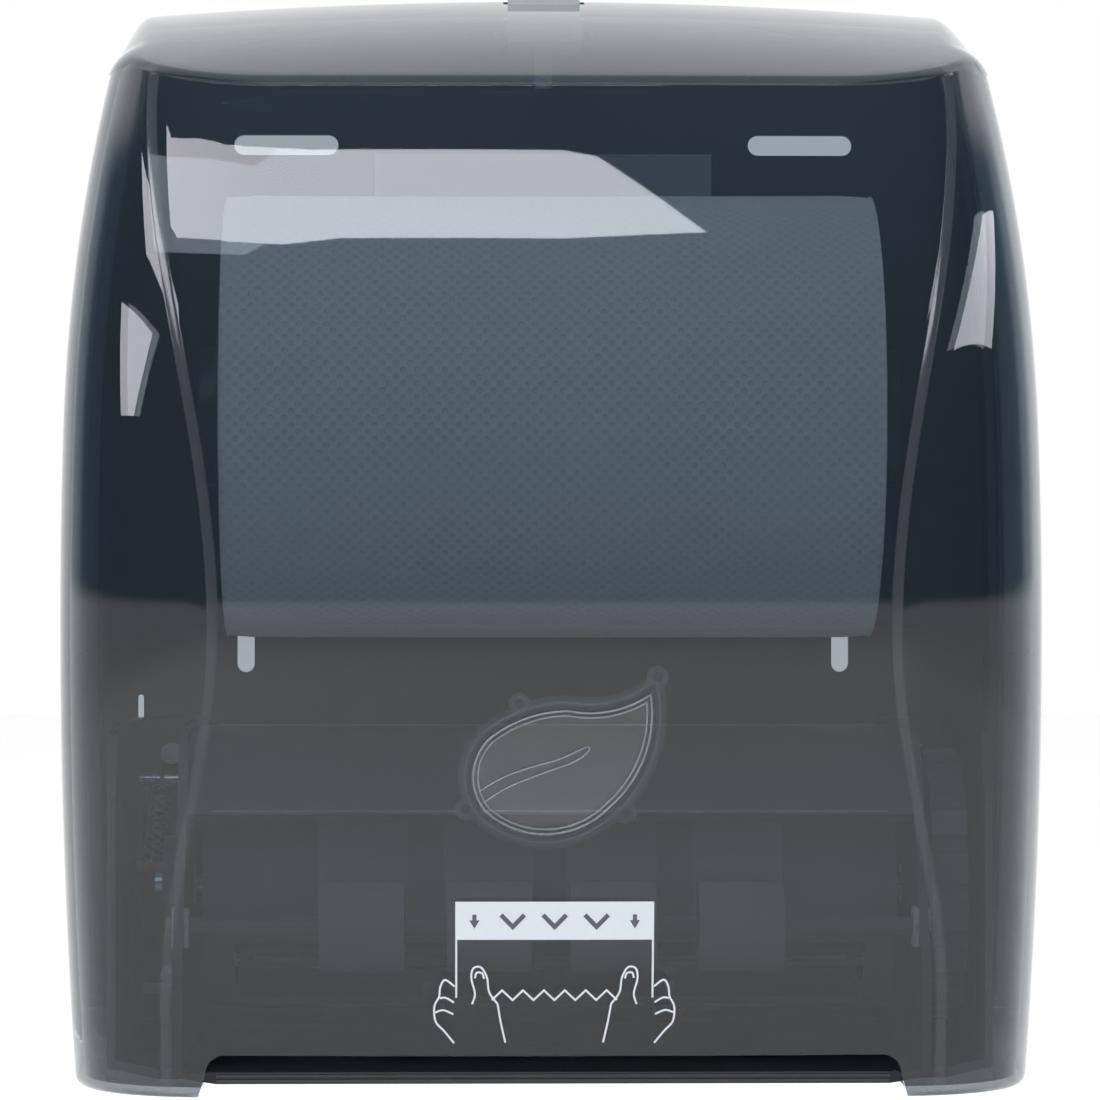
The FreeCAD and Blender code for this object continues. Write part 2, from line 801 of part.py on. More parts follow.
def slot(sketch, x, level, length, width, upright):
    """Draw a round-ended slot."""
    half, radius = (length - width) / 2, width / 2
    along = V(0, half, 0) if upright else V(half, 0, 0)
    across = V(radius, 0, 0) if upright else V(0, radius, 0)
    beyond = along * (1 + radius / half)
    centre = V(x, level, 0)
    chain(sketch, [
        Part.LineSegment(centre - along - across, centre + along - across),
        Part.Arc(centre + along - across, centre + beyond, centre + along + across),
        Part.LineSegment(centre + along + across, centre - along + across),
        Part.Arc(centre - along + across, centre - beyond, centre - along - across),
    ])


def frame_screw_places():
    """Where the side frames are screwed to the back plate, as expressions for x and level."""
    middle = "(cheek_x + wing_x) / 2"
    return [("%d * %s" % (side, middle), level) for side in (-1, 1)
            for level in ("frame_foot_level + 18", "frame_top_level - 12")]


def make_back_plate():
    """The moulded back plate with its mounting slots."""
    body = new_body("plate_moulding")
    lip = new_sketch(body, "plate_lip_outline", "front")
    plate_outline(lip, 0)
    pad(body, "plate_lip_pad", lip, "plate_lip")
    inset = value("cover_wall + rim_clearance")
    rim = new_sketch(body, "plate_rim_outline", "front")
    plate_outline(rim, inset)
    pad(body, "plate_rim_pad", rim, "rim_depth")

    def tall_corner(edge):
        return runs_along(edge, V(0, 1, 0)) and abs(edge.BoundBox.XMin) > value("half_width / 2")
    round_edges(body, "plate_corners", "plate_corner_radius", tall_corner)
    hollow = new_sketch(body, "plate_hollow_outline", "front", "plate_wall")
    plate_outline(hollow, inset + value("rim_wall"))
    pocket(body, "plate_hollow", hollow, "rim_depth")
    foot = new_sketch(body, "rim_foot_outline", "front", "plate_lip")
    polygon(foot, [("-2 * half_width", "bottom_level - 20"), ("2 * half_width", "bottom_level - 20"),
                   ("2 * half_width", "rim_foot_level"), ("-2 * half_width", "rim_foot_level")])
    pocket(body, "rim_foot", foot, "rim_depth")
    gap = new_sketch(body, "latch_gap_outline", "front", "plate_lip")
    reach = "latch_half_width + latch_side_gap + latch_ear + 1"
    polygon(gap, [("-(%s)" % reach, "keeper_level - 8"), (reach, "keeper_level - 8"),
                  (reach, "top_level + 10"), ("-(%s)" % reach, "top_level + 10")])
    pocket(body, "latch_gap", gap, "rim_depth")
    slots = new_sketch(body, "mounting_slots", "front", "-1")
    for side in (-1, 1):
        slot(slots, side * value("upper_slot_x"), value("upper_slot_level"), value("upper_slot_length"),
             value("upper_slot_width"), False)
        slot(slots, side * value("lower_slot_x"), value("lower_slot_level"), value("lower_slot_length"),
             value("lower_slot_width"), True)
    slot(slots, -value("peg_slot_x"), value("peg_slot_level"), value("peg_slot_length"),
         value("peg_slot_width"), True)
    pocket(body, "slot_pocket", slots, "plate_wall + 3")
    bosses = new_sketch(body, "frame_boss_outline", "front", "plate_wall")
    for x, level in frame_screw_places():
        ring(bosses, "screw_head_radius + 2", x, level)
    pad(body, "frame_bosses", bosses, "plate_lip - plate_wall")
    return common("back_plate", body, joined(
        "plate_limit", under_roof("rim_limit", "cover_wall + rim_clearance"),
        box("lip_limit", ("-2 * half_width", "2 * half_width"), ("0", "plate_lip"),
            ("bottom_level - 20", "top_level + 20"))))


def make_label():
    """The pale loading label on the back plate."""
    return box("loading_label", ("-label_width / 2", "label_width / 2"),
               ("plate_wall", "plate_wall + label_thickness"),
               ("label_level - label_height / 2", "label_level + label_height / 2"))


# Feed mechanism: two U-shaped side frames, hood, deck, drum, knife and pinch rollers

def polar(centre, radius, angle):
    """A depth and level at a radius and an angle in degrees; zero degrees is straight out from the wall."""
    turn = math.radians(angle)
    return centre[0] + radius * math.cos(turn), centre[1] + radius * math.sin(turn)


DRUM = (value("drum_depth"), value("drum_level"))
HINGE = (value("hinge_depth"), value("hinge_level"))
PINCH_DEPTH = "drum_depth + (drum_radius + pinch_gap + pinch_radius) * cos(pinch_angle)"
PINCH_LEVEL = "drum_level + (drum_radius + pinch_gap + pinch_radius) * sin(pinch_angle)"


def make_side_frame(name, side):
    """A U-shaped frame: inner cheek, foot web and outer wing, open at the top and front."""
    def across(inner, outer):
        """The sketch offset and length of a span of x on this side."""
        return inner if side > 0 else "-(%s)" % outer
    body = new_body(name)
    outline = new_sketch(body, name + "_outline", "side", across("cheek_x", "wing_x"))
    foot, top = "frame_foot_level", "frame_top_level"
    polygon(outline, [("plate_lip", foot), ("frame_front_depth", foot), ("frame_front_depth", "frame_nose_level"),
                      ("frame_shoulder_depth", top), ("plate_lip", top)], flip=-1)
    pad(body, name + "_block", outline, "wing_x - cheek_x")
    round_edges(body, name + "_nose", "frame_round",
                lambda edge: runs_along(edge, V(1, 0, 0)) and edge.BoundBox.YMin < -value("frame_shoulder_depth") + 1
                and edge.BoundBox.ZMin > value("frame_foot_level") + 1)
    bevel = new_sketch(body, name + "_bevel_outline", "top", "frame_foot_level - 1")
    sign = "" if side > 0 else "-"
    polygon(bevel, [(sign + "frame_bevel_x", "-(frame_front_depth + 5)"), (sign + "frame_bevel_x", "-frame_front_depth"),
                    (sign + "wing_x", "-frame_bevel_depth"), (sign + "(wing_x + 5)", "-frame_bevel_depth"),
                    (sign + "(wing_x + 5)", "-(frame_front_depth + 5)")])
    pocket(body, name + "_bevel", bevel, "frame_top_level - frame_foot_level + 2")
    hollow = new_sketch(body, name + "_hollow_outline", "side",
                        across("cheek_x + frame_wall", "wing_x - frame_wall"))
    rear, floor = "plate_lip + frame_wall", "frame_foot_level + frame_wall"
    polygon(hollow, [(rear, floor), ("frame_front_depth + 5", floor), ("frame_front_depth + 5", "frame_top_level + 5"),
                     (rear, "frame_top_level + 5")], flip=-1)
    pocket(body, name + "_hollow", hollow, "wing_x - cheek_x - 2 * frame_wall")
    bores = new_sketch(body, name + "_bores", "side", across("cheek_x - 1", "cheek_x + frame_wall + 1"))
    ring(bores, "bearing_radius", "drum_depth", "drum_level", flip=-1)
    half = "(saddle_height / 2 + 0.2)"
    polygon(bores, [(PINCH_DEPTH + " - saddle_depth / 2 - 0.2", PINCH_LEVEL + " - " + half),
                    (PINCH_DEPTH + " + saddle_depth / 2 + saddle_travel", PINCH_LEVEL + " - " + half),
                    (PINCH_DEPTH + " + saddle_depth / 2 + saddle_travel", PINCH_LEVEL + " + " + half),
                    (PINCH_DEPTH + " - saddle_depth / 2 - 0.2", PINCH_LEVEL + " + " + half)], flip=-1)
    pocket(body, name + "_bore_pocket", bores, "frame_wall + 2")
    relief = new_sketch(body, name + "_relief_outline", "side", across("cheek_x - 1", "wing_x + 1"))
    chain(relief, sector(value("hinge_boss_radius - 1.6"), value("hinge_sweep_radius + 2.5"), 116.0, 272.0, HINGE))
    pocket(body, name + "_hinge_relief", relief, "wing_x - cheek_x + 2")
    return body


def make_bearings():
    """A flanged bush in each cheek for the drum's shaft."""
    bushes = []
    for side, name in ((-1, "left"), (1, "right")):
        centre = ("drum_depth", "drum_level")
        spans = [("cheek_x", "cheek_x + frame_wall"), ("cheek_x + frame_wall", "cheek_x + frame_wall + bearing_flange"),
                 ("cheek_x - 1", "cheek_x + frame_wall + bearing_flange + 1")]
        spans = [span if side > 0 else ("-(%s)" % span[1], "-(%s)" % span[0]) for span in spans]
        bushes.append(cut("%s_bush" % name,
                          joined("%s_bush_blank" % name,
                                 rod("%s_bush_body" % name, "bearing_radius", "x", spans[0], centre),
                                 rod("%s_bush_flange" % name, "bearing_flange_radius", "x", spans[1], centre)),
                          rod("%s_bush_bore" % name, "shaft_radius + shaft_fit", "x", spans[2], centre)))
    return group("drum_bearings", *bushes)


def sector(inner, outer, start, end, centre):
    """The outline of a ring sector in a side view, as lines and arcs in sketch axes (y, level)."""
    def at(radius, angle):
        deep, level = polar(centre, radius, angle)
        return V(-deep, level, 0)
    middle = (start + end) / 2
    return [
        Part.LineSegment(at(inner, start), at(outer, start)),
        Part.Arc(at(outer, start), at(outer, middle), at(outer, end)),
        Part.LineSegment(at(outer, end), at(inner, end)),
        Part.Arc(at(inner, end), at(inner, middle), at(inner, start)),
    ]


def make_hood():
    """A curved hood over the drum, with a stiff lip along its front edge."""
    body = new_body("mechanism_hood")
    radius = value("drum_radius + hood_gap")
    wall = value("hood_wall")
    start, end = value("hood_front_angle"), value("hood_rear_angle")
    arch = new_sketch(body, "hood_arch_outline", "side", "-(cheek_x - fit_gap)")
    chain(arch, sector(radius, radius + wall, start, end, DRUM))
    pad(body, "hood_arch", arch, "2 * (cheek_x - fit_gap)")
    lip = new_sketch(body, "hood_lip_outline", "side", "-(cheek_x - fit_gap)")
    slim = math.degrees(wall / radius)
    chain(lip, sector(radius + wall / 2, radius + wall + value("hood_lip"), start, start + slim, DRUM))
    pad(body, "hood_lip", lip, "2 * (cheek_x - fit_gap)")
    return body


def make_deck():
    """The floor of the mechanism, with the nose that the towel slides over at the exit."""
    body = new_body("exit_deck")
    outline = new_sketch(body, "deck_outline", "side", "-(cheek_x - fit_gap)")
    foot, floor = "frame_foot_level", "frame_foot_level + deck_wall"
    nose = "frame_foot_level + deck_nose_height"
    polygon(outline, [
        ("hinge_depth", foot), ("deck_nose_depth", foot), ("deck_nose_depth", nose),
        ("deck_nose_depth - 3", nose), ("deck_nose_depth - 5", floor), ("hinge_depth + deck_wall", floor),
        ("hinge_depth + deck_wall", "frame_foot_level + 14"), ("hinge_depth", "frame_foot_level + 14")], flip=-1)
    pad(body, "deck_floor", outline, "2 * (cheek_x - fit_gap)")
    bevels = new_sketch(body, "deck_bevel_outline", "top", "frame_foot_level - 1")
    for sign in ("", "-"):
        polygon(bevels, [(sign + "deck_nose_half_width", "-deck_nose_depth"), (sign + "cheek_x", "-deck_bevel_depth"),
                         (sign + "(cheek_x + 5)", "-deck_bevel_depth"), (sign + "(cheek_x + 5)", "-deck_nose_depth - 5"),
                         (sign + "deck_nose_half_width", "-deck_nose_depth - 5")])
    pocket(body, "deck_bevels", bevels, "deck_nose_height + 2")
    ridges = new_sketch(body, "deck_ridge_outline", "side", "-deck_nose_half_width")
    for share in (0.2, 0.62):
        low = "frame_foot_level + deck_nose_height * %s" % share
        polygon(ridges, [("deck_nose_depth - 1", low), ("deck_nose_depth + deck_ridge", low),
                         ("deck_nose_depth + deck_ridge", low + " + deck_ridge"),
                         ("deck_nose_depth - 1", low + " + deck_ridge")], flip=-1)
    pad(body, "deck_ridges", ridges, "2 * deck_nose_half_width")
    return body


def make_drum_half(name, start, end, slotted):
    """Half of the drum's shell: a ribbed half tube, revolved about the shaft."""
    body = new_body(name + "_shell" if slotted else name)
    outer = value("drum_radius - grip_thickness")
    inner = outer - value("drum_wall")
    rib = inner - value("drum_rib_height")
    half = value("drum_half_length")
    seats = [value("pinch_inner_x"), value("pinch_outer_x")]
    rib_x = [-half + 4, -sum(seats) / 2, 0.0, sum(seats) / 2, half - 4]
    thin = value("drum_wall") / 2
    profile = [V(-half, outer, 0), V(-half, inner, 0)]
    for x in rib_x:
        profile += [V(x - thin, inner, 0), V(x - thin, rib, 0), V(x + thin, rib, 0), V(x + thin, inner, 0)]
    profile += [V(half, inner, 0), V(half, outer, 0)]
    sketch = new_sketch(body, name + "_profile", "top")
    chain(sketch, [Part.LineSegment(a, b) for a, b in zip(profile, profile[1:] + profile[:1])])
    turn = body.newObject("PartDesign::Revolution", name + "_revolved")
    turn.Profile = sketch
    turn.ReferenceAxis = (sketch, ["H_Axis"])
    turn.Angle = end - start
    doc.recompute()
    probe = turn.Shape.CenterOfMass
    found = math.degrees(math.atan2(probe.z, -probe.y))
    lean = (start + end) / 2 - found
    body.Placement = FreeCAD.Placement(V(0, -DRUM[0], DRUM[1]), FreeCAD.Rotation(V(1, 0, 0), -lean))
    if not slotted:
        return body
    window = doc.addObject("Part::Feature", name + "_window")
    path = [e.toShape() for e in sector(rib - 1, outer + 2, value("knife_slot_start"), value("knife_slot_end"), DRUM)]
    face = Part.Face(Part.Wire(path))
    reach = value("knife_half_length + 1")
    face.Placement = FreeCAD.Placement(V(-reach, 0, 0), FreeCAD.Rotation(V(1, 1, 1), 120))
    window.Shape = face.extrude(V(2 * reach, 0, 0))
    return cut(name, body, window)


def make_grips():
    """Four rubber bands round the drum, one under each pinch roller."""
    bands = []
    gap_start, gap_end = value("knife_slot_start"), value("knife_slot_end")
    for number, text in enumerate(("-pinch_outer_x", "-pinch_inner_x", "pinch_inner_x", "pinch_outer_x")):
        half = value("pinch_width / 2 + 1")
        outer = value("drum_radius")
        inner = outer - value("grip_thickness")
        path = [e.toShape() for e in sector(inner, outer, gap_end + 1, gap_start + 359, DRUM)]
        face = Part.Face(Part.Wire(path))
        face.Placement = FreeCAD.Placement(V(value(text) - half, 0, 0), FreeCAD.Rotation(V(1, 1, 1), 120))
        band = doc.addObject("Part::Feature", "grip_band_%d" % number)
        band.Shape = face.extrude(V(2 * half, 0, 0))
        bands.append(band)
    return group("drum_grips", *bands)


def make_drum_caps():
    """The two end caps that close the drum and carry the knife's pivots."""
    caps = []
    pivot = ("drum_depth + knife_pivot_radius * cos(knife_pivot_angle)",
             "drum_level + knife_pivot_radius * sin(knife_pivot_angle)")
    for side, name in ((-1, "left"), (1, "right")):
        span = ("drum_half_length", "drum_half_length + drum_cap")
        span = span if side > 0 else ("-(%s)" % span[1], "-(%s)" % span[0])
        through = ("%s - 1" % span[0], "%s + 1" % span[1])
        centre = ("drum_depth", "drum_level")
        caps.append(cut("%s_drum_cap" % name,
                        rod("%s_cap_disc" % name, "drum_radius - grip_thickness", "x", span, centre),
                        rod("%s_cap_bore" % name, "shaft_radius", "x", through, centre),
                        rod("%s_pivot_bore" % name, "knife_pin_radius + shaft_fit", "x", through, pivot)))
    return group("drum_caps", *caps)


def make_shaft():
    """The drum's steel shaft; its flats are hidden in the crank and the hand wheel."""
    return rod("drum_shaft", "shaft_radius", "x", ("-(cheek_x + frame_wall + bearing_flange + 8)",
                                                   "cheek_x + frame_wall + bearing_flange + wheel_width + 4"),
               ("drum_depth", "drum_level"))


def make_crank():
    """The crank at the shaft's left end: a disc whose pin pulls on the drive spring."""
    near = "cheek_x + frame_wall + bearing_flange + 1"
    far = near + " + crank_thickness"
    centre = ("drum_depth", "drum_level")
    throw = ("drum_depth + crank_throw * cos(crank_angle)", "drum_level + crank_throw * sin(crank_angle)")
    disc = rod("crank_disc", "crank_radius", "x", ("-(%s)" % far, "-(%s)" % near), centre)
    pin = rod("crank_pin", "crank_pin_radius", "x", ("-(%s + crank_pin_length)" % far, "-(%s)" % far), throw)
    bore = rod("crank_bore", "shaft_radius", "x", ("-(%s + 1)" % far, "-(%s - 1)" % near), centre)
    return cut("drive_crank", joined("crank_blank", disc, pin), bore)


def make_hand_wheel():
    """The notched wheel at the shaft's right end, turned by a finger to feed the first towel."""
    body = new_body("hand_wheel")
    near = "cheek_x + frame_wall + bearing_flange + 2"
    sketch = new_sketch(body, "wheel_outline", "side", near)
    ring(sketch, "wheel_radius", "0", "0", flip=-1)
    ring(sketch, "shaft_radius", "0", "0", flip=-1)
    pad(body, "wheel_disc", sketch, "wheel_width")
    dish = new_sketch(body, "wheel_dish_outline", "side", near + " + 3")
    ring(dish, "wheel_radius - 8", "0", "0", flip=-1)
    ring(dish, "shaft_radius + 5", "0", "0", flip=-1)
    pocket(body, "wheel_dish", dish, "wheel_width")
    notch = new_sketch(body, "wheel_notch_outline", "side", near + " - 1")
    ring(notch, "wheel_notch_radius", "wheel_radius + 1", "0", flip=-1)
    first = pocket(body, "wheel_notch", notch, "wheel_width + 2")
    around = body.newObject("PartDesign::PolarPattern", "wheel_notches")
    around.Originals = [first]
    around.Axis = (notch, ["N_Axis"])
    around.Angle = 360
    around.Occurrences = 18
    body.Tip = around
    place(body, "0", "-drum_depth", "drum_level")
    return body


def make_knife():
    """The knife carrier, its toothed blade and its two pivot pins, drawn inside the drum."""
    reach, rest, pivot_radius = value("knife_reach"), value("knife_rest_radius"), value("knife_pivot_radius")
    pivot = polar(DRUM, pivot_radius, value("knife_pivot_angle"))
    bend = math.degrees(math.acos((pivot_radius ** 2 + reach ** 2 - rest ** 2) / (2 * pivot_radius * reach)))
    aim = value("knife_pivot_angle") + 180 - bend
    turned = FreeCAD.Placement(V(0, -pivot[0], pivot[1]), FreeCAD.Rotation(V(1, 0, 0), 180 - aim))
    half = value("knife_half_length")
    thick = value("knife_carrier_thickness")
    carrier = new_body("knife_carrier")
    profile = new_sketch(carrier, "carrier_profile", "side", "-knife_half_length")
    back, seat = -4.0, reach - 9.0
    points = [V(back, -thick / 2, 0), V(seat, -thick / 2, 0), V(seat, thick / 2 - 1.2, 0),
              V(seat - 8, thick / 2 - 1.2, 0), V(seat - 8, thick / 2 + 1, 0), V(back, thick / 2 + 1, 0)]
    chain(profile, [Part.LineSegment(a, b) for a, b in zip(points, points[1:] + points[:1])])
    pad(carrier, "carrier_bar", profile, "2 * knife_half_length")
    carrier.Placement = turned
    blade = new_body("knife_blade")
    teeth = new_sketch(blade, "blade_teeth", "top", str(thick / 2 - 1.2))
    pitch = value("knife_tooth_pitch")
    count = int(2 * (half - 1) // pitch)
    start = -count * pitch / 2
    root = reach - value("knife_tooth_depth")
    edge = [V(start, seat - 8, 0), V(start, root, 0)]
    for tooth in range(count):
        edge += [V(start + (tooth + 0.5) * pitch, reach, 0), V(start + (tooth + 1) * pitch, root, 0)]
    edge.append(V(-start, seat - 8, 0))
    chain(teeth, [Part.LineSegment(a, b) for a, b in zip(edge, edge[1:] + edge[:1])])
    pad(blade, "blade_plate", teeth, "knife_blade_thickness")
    blade.Placement = turned
    pins = []
    for side, name in ((-1, "left"), (1, "right")):
        span = ("knife_half_length", "drum_half_length + drum_cap")
        span = span if side > 0 else ("-(%s)" % span[1], "-(%s)" % span[0])
        pins.append(rod("%s_knife_pin" % name, "knife_pin_radius", "x", span,
                        ("drum_depth + knife_pivot_radius * cos(knife_pivot_angle)",
                         "drum_level + knife_pivot_radius * sin(knife_pivot_angle)")))
    return [carrier, blade, group("knife_pins", *pins)]


def make_pinch_rollers():
    """The axle and the four rubber rollers that press the towel on the drum."""
    centre = (PINCH_DEPTH, PINCH_LEVEL)
    reach = "cheek_x + frame_wall + 3"
    axle = rod("pinch_axle", "pinch_axle_radius", "x", ("-(%s)" % reach, reach), centre)
    rollers = []
    for number, x in enumerate(("-pinch_outer_x", "-pinch_inner_x", "pinch_inner_x", "pinch_outer_x")):
        span = ("%s - pinch_width / 2" % x, "%s + pinch_width / 2" % x)
        through = ("%s - 1" % span[0], "%s + 1" % span[1])
        rollers.append(cut("pinch_roller_%d" % number,
                           rod("roller_blank_%d" % number, "pinch_radius", "x", span, centre),
                           rod("roller_bore_%d" % number, "pinch_axle_radius", "x", through, centre)))
    return [axle, group("pinch_rollers", *rollers)]


def make_saddles():
    """The sliding blocks that carry the pinch axle in the cheeks, and the springs behind them."""
    blocks, springs = [], []
    for side, name in ((-1, "left"), (1, "right")):
        span = ("cheek_x - 1", "cheek_x - 1 + saddle_width")
        span = span if side > 0 else ("-(%s)" % span[1], "-(%s)" % span[0])
        through = ("%s - 1" % span[0], "%s + 1" % span[1])
        block = box("%s_saddle_block" % name, span,
                    (PINCH_DEPTH + " - saddle_depth / 2", PINCH_DEPTH + " + saddle_depth / 2"),
                    (PINCH_LEVEL + " - saddle_height / 2", PINCH_LEVEL + " + saddle_height / 2"))
        blocks.append(cut("%s_saddle" % name, block,
                          rod("%s_saddle_bore" % name, "pinch_axle_radius + shaft_fit", "x", through,
                              (PINCH_DEPTH, PINCH_LEVEL))))
        middle = "%d * (cheek_x - 1 + saddle_width / 2)" % side
        springs.append(rod("%s_saddle_spring" % name, "saddle_width / 2 - 0.3", "y",
                           (PINCH_DEPTH + " + saddle_depth / 2", PINCH_DEPTH + " + saddle_depth / 2 + saddle_travel"),
                           (middle, PINCH_LEVEL)))
    return [group("axle_saddles", *blocks), group("saddle_springs", *springs)]


def make_drive_spring():
    """The extension spring from the crank pin to its post: open coils and a loop at each end."""
    x = -value("cheek_x + frame_wall + bearing_flange + 1 + crank_thickness + crank_pin_length / 2")
    pin = polar(DRUM, value("crank_throw"), value("crank_angle"))
    post = (value("spring_post_depth"), value("spring_post_level"))
    start, end = V(x, -pin[0], pin[1]), V(x, -post[0], post[1])
    span = end - start
    length = span.Length
    mean, wire = value("spring_coil_radius"), value("spring_wire_radius")
    turns = value("spring_turns")
    tail = value("crank_pin_radius") + 3 * wire
    coil = length - 2 * tail - 2 * mean
    flats = [math.radians(60 * number) for number in range(7)]

    def wire_section(across):
        """The wire's six-sided section, beside the axis of the coils."""
        return Part.makePolygon([V(mean + wire * math.cos(turn), 0, 0) + across * (wire * math.sin(turn))
                                 for turn in flats])

    def hook(loop, join):
        """The straight tail and the open loop at one end, as one bent wire."""
        side = math.copysign(mean, join - loop)
        around = [V(mean * math.cos(turn), 0, loop - side * math.sin(turn))
                  for turn in (0, math.radians(140), math.radians(285))]
        path = Part.Wire([Part.makeLine(V(mean, 0, join), around[0]), Part.Arc(*around).toShape()])
        section = wire_section(V(0, 1, 0))
        section.translate(V(0, 0, join))
        return path.makePipeShell([section], True, False)

    helix = Part.makeLongHelix(coil / turns, coil, mean, 0)
    coils = Part.Wire(helix.Edges).makePipeShell([wire_section(V(0, 0, 1))], True, True)
    coils.translate(V(0, 0, tail + mean))
    print("drive spring: least gap between turns %.2f mm" % (coil / turns - 2 * wire))
    ends = [hook(0.0, tail + mean), hook(length, length - tail - mean)]
    spring = doc.addObject("Part::Feature", "drive_spring")
    spring.Shape = coils.fuse(ends)
    spring.Placement = FreeCAD.Placement(start, FreeCAD.Rotation(V(), V(1, 0, 0), span, "ZYX"))
    near, far = "cheek_x + frame_wall", "wing_x - frame_wall"
    peg = rod("spring_post", "crank_pin_radius", "x", ("-(%s)" % far, "-(%s)" % near),
              ("spring_post_depth", "spring_post_level"))
    return [spring, peg]


# Towel roll and the arms that hold it

def make_roll():
    """The rolled towel and its cardboard core."""
    span = ("-roll_half_width", "roll_half_width")
    beyond = ("-(roll_half_width + 1)", "roll_half_width + 1")
    centre = ("roll_depth", "roll_level")
    core = cut("roll_core", rod("core_tube", "core_radius + core_wall", "x", span, centre),
               rod("core_bore", "core_radius", "x", beyond, centre))
    paper = cut("paper_roll", rod("paper_cylinder", "roll_radius", "x", span, centre),
                rod("paper_bore", "core_radius + core_wall", "x", beyond, centre))
    return [paper, core]


def make_roll_arm(name, side):
    """A swing arm with its hub: a long tapering lever, a round end and a tapered plug for the core."""
    inner = "roll_half_width + arm_gap"
    flange = inner + " + hub_flange"
    outer = flange + " + arm_thickness"

    def facing(low, high):
        return (low, high) if side > 0 else ("-(%s)" % high, "-(%s)" % low)
    centre = ("roll_depth", "roll_level")
    body = new_body(name + "_lever")
    sketch = new_sketch(body, name + "_lever_outline", "side", facing(flange, outer)[0])
    half = "arm_half_height"
    root = "arm_pivot_depth - arm_barrel_radius / 2"
    neck = "2 * arm_pivot_depth"
    polygon(sketch, [(root, "roll_level - " + half), (neck, "roll_level - " + half),
                     ("roll_depth", "roll_level - arm_end_radius"), ("roll_depth", "roll_level + arm_end_radius"),
                     (neck, "roll_level + " + half), (root, "roll_level + " + half)], flip=-1)
    pad(body, name + "_lever_pad", sketch, "arm_thickness")
    window = new_sketch(body, name + "_window_outline", "side", facing(flange + " - 1", outer + " + 1")[0])
    polygon(window, [("roll_depth * 0.30", "roll_level - arm_half_height * 0.5"),
                     ("roll_depth * 0.68", "roll_level - arm_half_height * 0.62"),
                     ("roll_depth * 0.68", "roll_level + arm_half_height * 0.62"),
                     ("roll_depth * 0.30", "roll_level + arm_half_height * 0.5")], flip=-1)
    pocket(body, name + "_window", window, "arm_thickness + 2")
    round_end = rod(name + "_end", "arm_end_radius", "x", facing(flange, outer), centre)
    disc = rod(name + "_flange", "hub_flange_radius", "x", facing(inner, flange), centre)
    plug = doc.addObject("Part::Cone", name + "_plug")
    plug.setExpression("Radius1", bound("hub_base_radius"))
    plug.setExpression("Radius2", bound("hub_end_radius"))
    plug.setExpression("Height", bound("hub_length + arm_gap"))
    plug.Placement = FreeCAD.Placement(V(), FreeCAD.Rotation(V(0, 1, 0), -90 * side))
    place(plug, "%d * (%s)" % (side, inner), "-roll_depth", "roll_level")
    barrel_x = "%d * (%s - arm_thickness / 2)" % (side, outer)
    barrel = rod(name + "_barrel", "arm_barrel_radius", "z",
                 ("roll_level - arm_half_height", "roll_level + arm_half_height"), (barrel_x, "arm_pivot_depth"))
    bore = rod(name + "_bore", "arm_pin_radius + shaft_fit", "z",
               ("roll_level - arm_half_height - 1", "roll_level + arm_half_height + 1"),
               (barrel_x, "arm_pivot_depth"))
    return cut(name, joined(name + "_blank", body, round_end, disc, plug, barrel), bore)


def make_arm_brackets():
    """The lugs on the back plate that hold each arm's pivot pin, and the pins."""
    lugs, pins = [], []
    middle = "(roll_half_width + arm_gap + hub_flange + arm_thickness / 2)"
    for side, name in ((-1, "left"), (1, "right")):
        x = "%d * %s" % (side, middle)
        pieces = []
        for number, (low, high) in enumerate((
                ("roll_level + arm_half_height + arm_lug_gap",
                 "roll_level + arm_half_height + arm_lug_gap + arm_lug_height"),
                ("roll_level - arm_half_height - arm_lug_gap - arm_lug_height",
                 "roll_level - arm_half_height - arm_lug_gap"))):
            label = "%s_lug_%d" % (name, number)
            block = box(label + "_block", ("%s - arm_barrel_radius" % x, "%s + arm_barrel_radius" % x),
                        ("plate_wall", "arm_pivot_depth"), (low, high))
            nose = rod(label + "_nose", "arm_barrel_radius", "z", (low, high), (x, "arm_pivot_depth"))
            bore = rod(label + "_bore", "arm_pin_radius", "z", ("%s - 1" % low, "%s + 1" % high),
                       (x, "arm_pivot_depth"))
            pieces.append(cut(label, joined(label + "_blank", block, nose), bore))
        lugs += pieces
        ends = ("roll_level - arm_half_height - arm_lug_gap - arm_lug_height - 0.5",
                "roll_level + arm_half_height + arm_lug_gap + arm_lug_height + 0.5")
        pins.append(rod("%s_arm_pin" % name, "arm_pin_radius", "z", ends, (x, "arm_pivot_depth")))
    return [group("arm_lugs", *lugs), group("arm_pins", *pins)]


# Latch at the middle of the top

